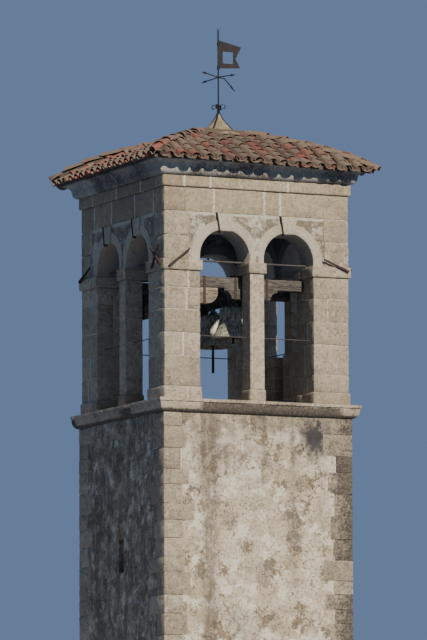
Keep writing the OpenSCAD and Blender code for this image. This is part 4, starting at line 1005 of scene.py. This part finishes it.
HIP_COUNT, HIP_SHARES = 7, [0, 0.15, 0.35, 0.6, 0.8, 1]
HIP_RISES = [[-0.05, 0.0, 0.03, -0.015, -0.045, -0.055], [-0.16, -0.075, -0.03, -0.015, -0.045, -0.055],
             [-0.10, -0.025, 0.03, -0.015, -0.045, -0.055], [-0.03, 0.05, 0.085, 0.045, -0.03, -0.055]]
BED_STOPS, BED_ACROSS = 15, np.array([-0.10, -0.08, -0.05, 0.05, 0.08, 0.10])
BED_RISES = np.array([0.0, -0.02, 0.02, 0.02, -0.02, 0.0])


def hip_row(quarter):
    """Covers bedded end over end on a ridge of mortar along a hip, from the eave's corner up to the cap. The row's
    height over the slopes' edge follows a slack line through the named rises, and the ridge's sides go down into
    the slopes, deeper further up."""
    corner = np.array([-EAVE_HALF, EAVE_HALF, EAVE_FOOT + 0.16])
    slope = np.array([-CAP_SEAT, CAP_SEAT, ROOF_TOP]) - corner
    total = np.linalg.norm(slope)
    along_hip, side = slope / total, np.array([1, 1, 0]) / math.sqrt(2)
    lift = np.cross(side, along_hip)
    lift = lift * np.sign(lift[2])
    starts = 0.02 + np.arange(HIP_COUNT) * (total - 0.12) / HIP_COUNT
    scale = dice.uniform(0.96, 1.06, HIP_COUNT)
    tiles, faces = barrel_tiles(0.112 * scale, 0.09 * scale, np.full(HIP_COUNT, TILE_LENGTH))
    a, along, h = np.moveaxis(tiles, -1, 0)
    run = starts[:, None] + along
    lie = np.interp(run / total, HIP_SHARES, HIP_RISES[quarter])
    rise = h * 0.92 + lie + 0.025 * (1 - along / TILE_LENGTH) + a * dice.normal(0, 0.05, HIP_COUNT)[:, None]
    a = a + along * dice.normal(0, 0.03, HIP_COUNT)[:, None]
    placed = corner + run[..., None] * along_hip + a[..., None] * side + rise[..., None] * lift
    part = many(placed, faces, tint=dice.random(HIP_COUNT), age=dice.random(HIP_COUNT))
    share = np.linspace(0.10, 1, BED_STOPS)
    lie = np.minimum(np.interp(share, HIP_SHARES, HIP_RISES[quarter]), 0.07)[:, None]
    height = np.where(BED_RISES == 0, -0.05 - 0.14 * smooth(share, 0.1, 0.4)[:, None], BED_RISES) + lie
    ridge = corner + share[:, None, None] * slope + BED_ACROSS[:, None] * side + height[..., None] * lift
    ridge = ridge + dice.normal(0, 0.005, ridge.shape)
    bed = solid(ridge, lidded_faces(BED_STOPS, len(BED_ACROSS)), bed=np.ones(ridge[..., 0].size))
    points, faces, marks = join(part, bed)
    points[:, 0] = np.maximum(points[:, 0], -EAVE_HALF + 0.002)
    points[:, 1] = np.minimum(points[:, 1], EAVE_HALF - 0.002)
    return facing(points, quarter), faces, marks


tile_clay = tile_finish_made()
slopes = [tiled_slope(q) for q in range(4)]
dress("tiles_front_back", join(slopes[0], slopes[2]), tile_clay, ["roof_slopes_front_back"])
dress("tiles_sides", join(slopes[1], slopes[3]), tile_clay, ["roof_slopes_sides"])
dress("hip_tiles", four(hip_row), tile_clay)
bed_out, bed_in = 2.265, 0.06
bed_foot = EAVE_FOOT + (EAVE_HALF - bed_out) * math.tan(ROOF_PITCH)
bed_profile = [(bed_out, bed_foot), (bed_out, bed_foot + 0.07), (0.46, ROOF_TOP - 0.10), (0.44, ROOF_TOP),
               (bed_in, ROOF_TOP), (bed_in, ROOF_TOP - 0.16)]
points, faces, marks = ring_moulding(bed_profile, [np.arange(24) / 24] * 4)
points += dice.normal(0, 0.004, points.shape)
points[:, 2] -= EAVE_SAGS[0] * smooth(-points[:, 1], 1.9, 2.2) * smooth(points[:, 0], -0.9, 1.9)
dress("roof_bed", (points, faces, {"bed": np.ones(len(points))}), tile_clay)


# ---- Roof cap: a trowelled cone of lime mortar that closes the top of the roof round the foot of the vane.
# Its sides are a little hollow, a thin skirt of it laps over the tiles' heads, and rust has run down it.
CAP_X, CAP_FOOT, CAP_TOP = 0.11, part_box("roof_cap")[0].z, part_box("roof_cap")[1].z
CAP_FOOT_R, CAP_TOP_R, CAP_FLARE = 0.33, 0.034, 1.35
SKIRT = [(0.30, -0.14), (0.54, -0.11), (0.52, -0.07), (0.42, -0.02)]


def turned_solid(profile, columns, hollow=False):
    """A profile of [radius, height] points turned round the upright axis. An open one is closed at both ends by
    strips between mirrored points; a hollow one is a closed ring of points, and leaves a hole along the axis."""
    profile = np.asarray(profile, float)
    turn = np.arange(columns) * 2 * np.pi / columns
    points = np.stack([profile[:, :1] * np.cos(turn), profile[:, :1] * np.sin(turn),
                       np.repeat(profile[:, 1:], columns, 1)], -1)
    return solid(points, (loop_faces if hollow else lidded_faces)(len(profile), columns))


def mortar_finish():
    """Beige lime mortar: cloudy, sandy and pitted, with brown runs drawn down the slope."""
    f = Finish("cap_mortar", (188, 168, 132), 0.95)
    fine = f.noise(0.035, 5, 0.7)
    f.coat((158, 140, 108), f.noise(0.15, 5, 0.6), 0.35, 0.65)
    f.coat((116, 102, 82), fine, 0.42, 0.72, 0.8)
    f.coat((104, 80, 56), f.noise(0.05, 3, 0.6, f.stretched((1, 1, 0.12))), 0.5, 0.75, 0.6)
    return f.finish(f.total(fine, (f.noise(0.008, 2), 0.3)), 0.012)


cap_high = CAP_TOP - CAP_FOOT
cap_profile = SKIRT + [(CAP_TOP_R + (CAP_FOOT_R - CAP_TOP_R) * (1 - t) ** CAP_FLARE, t * cap_high)
                       for t in np.linspace(0, 1, 17)] + [(0.01, cap_high)]
points, faces, marks = turned_solid(cap_profile, 40)
radius = np.hypot(points[:, 0], points[:, 1])
lumps = 0.016 * cloud(points, 0.12, 81) * smooth(radius, 0.03, 0.12)
points[:, :2] *= (1 - lumps / np.maximum(radius, 0.05))[:, None]
dress("cap_of_mortar", (points + [CAP_X, 0, CAP_FOOT], faces, marks), mortar_finish(), ["roof_cap"])


# ---- Weathervane: a forged pole, four flat compass arms with spear tips, scrolled straps that grip the cap, and a
# sheet-iron banner on two loops. The iron is black scale over rust, and one compass arm is bent up.
def refinish(material, *names):
    """Gives CAD nodes whose shape is right another material."""
    for name in names:
        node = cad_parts[name]
        node.data.materials.clear()
        node.data.materials.append(material)


scale, cloudy, fine = specked_metal("blackened_iron", 0.7, 0.35, [(38, 35, 34), (58, 47, 40), (92, 62, 44)],
                                    (0.08, 0.012), (0.4, 0.65), (0.55, 0.75, 0.6))
refinish(scale.finish(scale.total(fine, cloudy), 0.0015),
         "vane_pole", "compass_arms", "scroll_straps", "vane_banner")


# ---- Wall ties: round iron rods across the openings, whose ends pass through the pillars and are held outside by
# leaning anchor bars, hammered thinner to one end. Lime has turned the rods grey, and their grey is darkened
# further as painted shade; thin guard rods run lower down.
TIE_IN, ANCHOR_LONG, ANCHOR_T = 0.28, 0.56, 0.045
ANCHOR_OUT = BELFRY_HALF + IMPOST_OUT + ANCHOR_T / 2
TIE_X, TIE_Z, STEPPED_TIE_Z = BELFRY_HALF - TIE_IN, 12.868, 12.822
FRONT_LEANS, SIDE_LEANS = (39, -22), (24, 50, -40)


def anchor_bar(quarter, x, height, lean):
    """A square bar that swells to a club at one end: its section grows from 0.72 to 0.99 of the square bar that
    it is forged from, by a soft step along it, and it leans by an angle in degrees."""
    points, faces, marks = blocks([-0.5, -0.5, -0.5], [0.5, 0.5, 0.5], 0.12, 8, 0.006)
    club = 0.72 + 0.27 * smooth(0.5 + points[:, 0] * np.sign(x), 0.35, 0.8)
    upright = -points[:, 2] * ANCHOR_T * club
    long_way, angle = points[:, 0] * ANCHOR_LONG * 0.995, math.radians(lean)
    local = np.stack([x + long_way * math.cos(angle) - upright * math.sin(angle),
                      ANCHOR_OUT + points[:, 1] * ANCHOR_T * 0.98 * club,
                      height + long_way * math.sin(angle) + upright * math.cos(angle)], 1)
    return solid(facing(local, quarter), faces, **marks)


anchors = []
for quarter in range(4):
    ties_z, leans = (TIE_Z, SIDE_LEANS) if quarter % 2 else (STEPPED_TIE_Z, FRONT_LEANS)
    anchors += [anchor_bar(quarter, x, ties_z, lean) for x, lean in zip((-TIE_X, TIE_X, TIE_X), leans)]
dress("anchor_bars_forged", join(*anchors), rust_finish("dark_wrought_iron", 0.95), ["anchor_bars"])
# Painted shade: the rods' tones are darkened beyond the limed iron's own grey, as if they hung in shade.
limed, _, fine = specked_metal("limewashed_iron_painted_shade", 0.85, 0.05, [(98, 92, 86), (78, 70, 62), (76, 58, 46)],
                               (0.05, 0.014), (0.35, 0.65), (0.52, 0.74, 0.8))
refinish(limed.finish(fine, 0.001), "tie_rods", "guard_rods")


# ---- Bell frame: hewn chestnut bearers behind the front and back piers and across the middle, props let into the
# left jambs under their ends, iron bands round both, and iron bearing blocks for the gudgeons.
BEARER_TOP, BEARER_HIGH, BEARER_BACK, BEARER_THICK = 12.56, 0.205, 1.28, 0.20
BLOCK_LOW, BLOCK_HIGH, BLOCK_FOOT, SHOULDER_R = -0.475, 0.625, 12.155, 0.15
PROP_END, PROP_FOOT, PROP_ROUND, BEAM_POINTS = -0.61, 12.045, 0.22, 16


def hewn_beam(profile, low_side, high_side, worn=0.009, ripple=0.004, tint=0.5):
    """A timber cut from a profile of [along, foot, top] stops. Its section at each stop is a rectangle of 16 points
    with cut corners. Each point moves in by a cloud drawn out along the grain, and strips close the ends."""
    profile = np.asarray(profile, float)
    first, last = profile[:1] - [0.006, 0, 0], profile[-1:] + [0.006, 0, 0]
    rows = np.concatenate([first, profile, last])
    count, side, high = len(rows), high_side - low_side, rows[:, 2] - rows[:, 1]
    inset = np.zeros(count)
    inset[[0, -1]] = worn * 0.7
    third = np.array([0, 1 / 3, 2 / 3, 1])
    wide, tall = [worn / length + (1 - 2 * worn / length) * third
                  for length in (np.array([side]), np.maximum(high, 0.05)[:, None])]
    s = np.concatenate([wide, [1] * 4, wide[::-1], [0] * 4])
    z = np.concatenate([np.zeros((count, 4)), tall, np.ones((count, 4)), tall[:, ::-1]], 1)
    points = np.stack([np.repeat(rows[:, :1], BEAM_POINTS, 1), np.broadcast_to(low_side + side * s, z.shape),
                       rows[:, 1:2] + high[:, None] * z], -1)
    middle = np.stack([np.full(count, (low_side + high_side) / 2), (rows[:, 1] + rows[:, 2]) / 2], 1)[:, None]
    lumps = ripple * cloud(points.reshape(-1, 3) * [0.15, 1, 1], 0.07, 91) + np.repeat(inset, BEAM_POINTS)
    out = points[..., 1:] - middle
    points[..., 1:] = middle + out * (1 - lumps.reshape(count, BEAM_POINTS, 1) / np.maximum(np.abs(out), 0.03))
    return solid(points, lidded_faces(count, BEAM_POINTS), tint=np.full(count * BEAM_POINTS, tint))


def shouldered_profile(low, high, top, arm, block_low, block_high, foot, radius):
    """Stops of a beam whose middle hangs lower. At each shoulder the foot follows a hollow quarter circle."""
    turn = np.linspace(0, np.pi / 2, 9)
    left = [(block_low - 0.002, top - arm), (block_low, foot + radius)]
    left += [(block_low + radius * math.sin(t), foot + radius * math.cos(t)) for t in turn[1:]]
    right = [(block_high + block_low - x, z) for x, z in left][::-1]
    ends = [(x, top - arm) for x in np.linspace(low + 0.006, block_low - 0.02, 12)]
    middle = [(x, foot) for x in np.linspace(block_low + radius + 0.02, block_high - radius - 0.02, 8)]
    far_ends = [(x, top - arm) for x in np.linspace(block_high + 0.02, high - 0.006, 12)]
    return [(x, z, top) for x, z in ends + left + middle + right + far_ends]


def mirrored(part, mirror):
    """A beam's part, or the same part behind the tower's middle, its faces turned again to look outwards."""
    return solid(part[0] * [1, -1 if mirror else 1, 1], part[1], **part[2])


bearer_wood = timber_finish("bearer_timber", (130, 120, 106), (78, 70, 60), 0)
bearer_side = -BEARER_BACK - BEARER_THICK, -BEARER_BACK
bearer_line = shouldered_profile(-PILLAR_IN + 0.001, PILLAR_IN - 0.001, BEARER_TOP, BEARER_HIGH, BLOCK_LOW,
                                 BLOCK_HIGH, BLOCK_FOOT, SHOULDER_R)
for name, mirror in (("front_bearer", False), ("rear_bearer", True)):
    dress(name + "_beam", mirrored(hewn_beam(bearer_line, *bearer_side), mirror), bearer_wood, [name])
middle_line = [(x, BEARER_TOP - BEARER_HIGH, BEARER_TOP)
               for x in np.linspace(-PIER_BACK + 0.008, PIER_BACK - 0.008, 32)]
dress("middle_bearer_beam", hewn_beam(middle_line, -BEARER_THICK / 2, BEARER_THICK / 2, tint=0.8), bearer_wood,
      ["middle_bearer"])

prop_top, prop_bend = BEARER_TOP - BEARER_HIGH - 0.001, PROP_END - PROP_ROUND
prop_line = [(x, PROP_FOOT, prop_top) for x in np.linspace(-PILLAR_IN + 0.007, prop_bend - 0.02, 8)]
prop_line += [(prop_bend + PROP_ROUND * math.sin(t), PROP_FOOT + PROP_ROUND * (1 - math.cos(t)), prop_top)
              for t in np.linspace(0, np.pi / 2, 10)[:-1]]
prop_line += [(PROP_END - 0.007, PROP_FOOT + 0.20, prop_top)]
prop_wood = timber_finish("prop_timber", (176, 158, 130), (128, 110, 88), 0)
props = [mirrored(hewn_beam(prop_line, *bearer_side, tint=0.2), mirror) for mirror in (False, True)]
dress("bearer_prop_timbers", join(*props), prop_wood, ["bearer_props"])
refinish(rusty_iron, "bearer_straps", "bearing_blocks")


# ---- Bells: two cast bronze bells, grey-green with age and streaked pale by droppings and lime. Each hangs by its
# canons and irons from a shouldered timber headstock whose gudgeons turn in the bearing blocks.
BELL_X, BELL_Y, LIP_Z, MOUTH_R, BELL_HIGH = (0.07, 0.30), 0.69, 11.49, 0.405, 0.62
BELL_WALL = [(0.965, 0), (0.99, 0.012), (1, 0.035), (0.985, 0.075), (0.955, 0.10), (0.958, 0.108), (0.943, 0.118),
             (0.93, 0.13), (0.895, 0.165), (0.86, 0.2), (0.815, 0.252), (0.775, 0.31), (0.765, 0.325),
             (0.769, 0.333), (0.757, 0.341), (0.76, 0.349), (0.747, 0.357), (0.72, 0.40), (0.7, 0.44), (0.67, 0.51),
             (0.645, 0.58), (0.622, 0.66), (0.618, 0.68), (0.622, 0.688), (0.612, 0.696), (0.615, 0.704),
             (0.605, 0.712), (0.603, 0.74), (0.592, 0.80), (0.588, 0.808), (0.592, 0.816), (0.584, 0.824),
             (0.58, 0.86), (0.567, 0.90), (0.55, 0.93), (0.52, 0.96), (0.48, 0.98), (0.4, 1.0), (0.2, 1.005)]
BELL_LINING = [(0.2, 0.94), (0.35, 0.94), (0.47, 0.92), (0.52, 0.85), (0.55, 0.72), (0.59, 0.57), (0.645, 0.43),
               (0.72, 0.3), (0.8, 0.19), (0.85, 0.12), (0.87, 0.07), (0.92, 0.02)]
CANON_Y, CANON_R, CANON_TUBE, STEM_R, STEM_HIGH = 0.118, 0.05, 0.014, 0.05, 0.118
PIN_Z, PIN_R, LUG_GAP, LUG_T, LUG_W = 0.53, 0.01, 0.056, 0.012, 0.044
HEAD_HALF, HEAD_ARM, HEAD_TOP, HEAD_WIDE = 0.56, 0.13, 12.671, 0.19
HEAD_FOOT, HEAD_BLOCK, HEAD_SHOULDER = 12.23, 0.31, 0.17
TAILS, EYE_R, CLAPPER_R, BALL_R, TAIL_R, BALL_RISE = (0.09, 0.50), 0.022, 0.016, 0.052, 0.026, 0.065


def swept(path, radius, up, sides=8):
    """A round bar along a path: at each stop a ring of points at the given radius, square to the path, measured
    from a fixed upward direction; its ends are closed by strips between mirrored points."""
    along = np.gradient(path, axis=0)
    along /= np.linalg.norm(along, axis=1)[:, None]
    first = up - (along @ up)[:, None] * along
    first /= np.linalg.norm(first, axis=1)[:, None]
    second = np.cross(along, first)
    turn = ((np.arange(sides) + 0.5) * 2 * np.pi / sides)[None, :, None]
    points = path[:, None] + radius * (first[:, None] * np.cos(turn) + second[:, None] * np.sin(turn))
    return solid(points, lidded_faces(len(path), sides))


def bell_metal():
    """Old bronze: grey-green and brown patina in clouds, with pale runs and spatters drawn down the wall."""
    f, cloudy, fine = specked_metal("bell_bronze", 0.62, 0.25, [(184, 174, 150), (136, 128, 106), (66, 62, 52)],
                                    (0.14, 0.02), (0.35, 0.65), (0.5, 0.72, 0.6))
    f.coat((246, 236, 206), f.noise(0.035, 5, 0.7, f.stretched((1, 1, 0.3))), 0.46, 0.56, 0.9)
    return f.finish(f.total(fine, cloudy), 0.002)


def bell_casting():
    """The bell's wall turned from its profile with raised wires cast round it, its stem and canon loops on top,
    and the two lugs and pin inside that carry the clapper; the lip is its zero height."""
    crown = BELL_HIGH + STEM_HIGH
    profile = [(0.006, 0.94 * BELL_HIGH)] + [(r * MOUTH_R, z * BELL_HIGH) for r, z in BELL_LINING + BELL_WALL]
    profile += [(STEM_R + 0.004, 1.005 * BELL_HIGH), (STEM_R, BELL_HIGH + 0.02), (STEM_R * 0.94, BELL_HIGH + 0.06),
                (STEM_R, crown - 0.01), (STEM_R - 0.01, crown), (0.006, crown)]
    parts = [turned_solid(profile, 72)]
    turn, middle = np.linspace(-0.12, np.pi + 0.12, 15), (LUG_GAP + LUG_T) / 2
    for side in (-1, 1):
        loop = np.stack([0 * turn, side * CANON_Y + CANON_R * np.cos(turn), BELL_HIGH + CANON_R * np.sin(turn)], 1)
        parts.append(swept(loop, CANON_TUBE - 0.0005, (1, 0, 0)))
        parts.append(blocks([-LUG_W / 2, side * middle - LUG_T / 2, PIN_Z - LUG_W / 2],
                            [LUG_W / 2, side * middle + LUG_T / 2, 0.945 * BELL_HIGH], 0.004, 4, 0))
    pin = np.stack([np.zeros(6), np.linspace(-1, 1, 6) * middle, np.full(6, PIN_Z)], 1)
    return join(*parts, swept(pin, PIN_R, (0, 0, 1), 16))


def clapper_forging(tail):
    """The clapper turned from its profile, a rod that swells into the ball and a tail below it, and the eye that
    turns on the pin: a ring whose section is a rectangle with cut corners."""
    ball = BALL_RISE - PIN_Z
    under = ball - BALL_R
    profile = [(0.004, under - tail), (TAIL_R - 0.004, under - tail), (TAIL_R, under - tail + 0.006),
               (TAIL_R * 0.94, under - tail * 0.4)]
    profile += [(BALL_R * math.cos(t), ball + BALL_R * math.sin(t)) for t in np.linspace(-1.15, 1.2, 11)]
    profile += [(CLAPPER_R, ball + BALL_R + 0.03), (CLAPPER_R * 0.8, ball / 2), (CLAPPER_R * 0.8, -0.06),
                (CLAPPER_R * 0.95, -EYE_R * 0.92), (0.004, -EYE_R * 0.9)]
    half, inner = LUG_GAP / 2 - 0.003, PIN_R + 0.0025
    section = [(inner, -half), (EYE_R - 0.003, -half), (EYE_R, 0.003 - half), (EYE_R, half - 0.003),
               (EYE_R - 0.003, half), (inner, half)]
    eye = turned_solid(section, 24, hollow=True)
    return join(turned_solid(profile, 24), solid(eye[0][:, [0, 2, 1]], eye[1]))


def hung(part, *place):
    """A part moved to its place."""
    return part[0] + place, part[1], part[2]


bronze = bell_metal()
headstock_wood = timber_finish("headstock_timber", (124, 108, 88), (78, 64, 50), 1)
head_line = shouldered_profile(-HEAD_HALF, HEAD_HALF, HEAD_TOP, HEAD_ARM, -HEAD_BLOCK, HEAD_BLOCK, HEAD_FOOT,
                               HEAD_SHOULDER)
for name, x, y, tail in (("front", BELL_X[0], -BELL_Y, TAILS[0]), ("rear", BELL_X[1], BELL_Y, TAILS[1])):
    bell, clapper = name + "_bell", name + "_clapper"
    dress(bell + "_casting", hung(bell_casting(), x, y, LIP_Z), bronze, [bell], bell)
    dress(clapper + "_forging", hung(clapper_forging(tail), x, y, LIP_Z + PIN_Z), rusty_iron,
          [clapper], clapper)
    beam, faces, marks = hewn_beam(head_line, x - HEAD_WIDE / 2, x + HEAD_WIDE / 2, 0.007, 0.002)
    dress(name + "_headstock_beam", hung(solid(beam[:, [1, 0, 2]], faces, **marks), 0, y, 0), headstock_wood,
          [name + "_headstock"], bell)
refinish(rusty_iron, "front_bell_irons", "rear_bell_irons")


# ---- Close: the sizes before and after the dressing, kept side by side.
boxes = {"cad": [list(v) for v in cad_box], "visual": [list(v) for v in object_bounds()]}
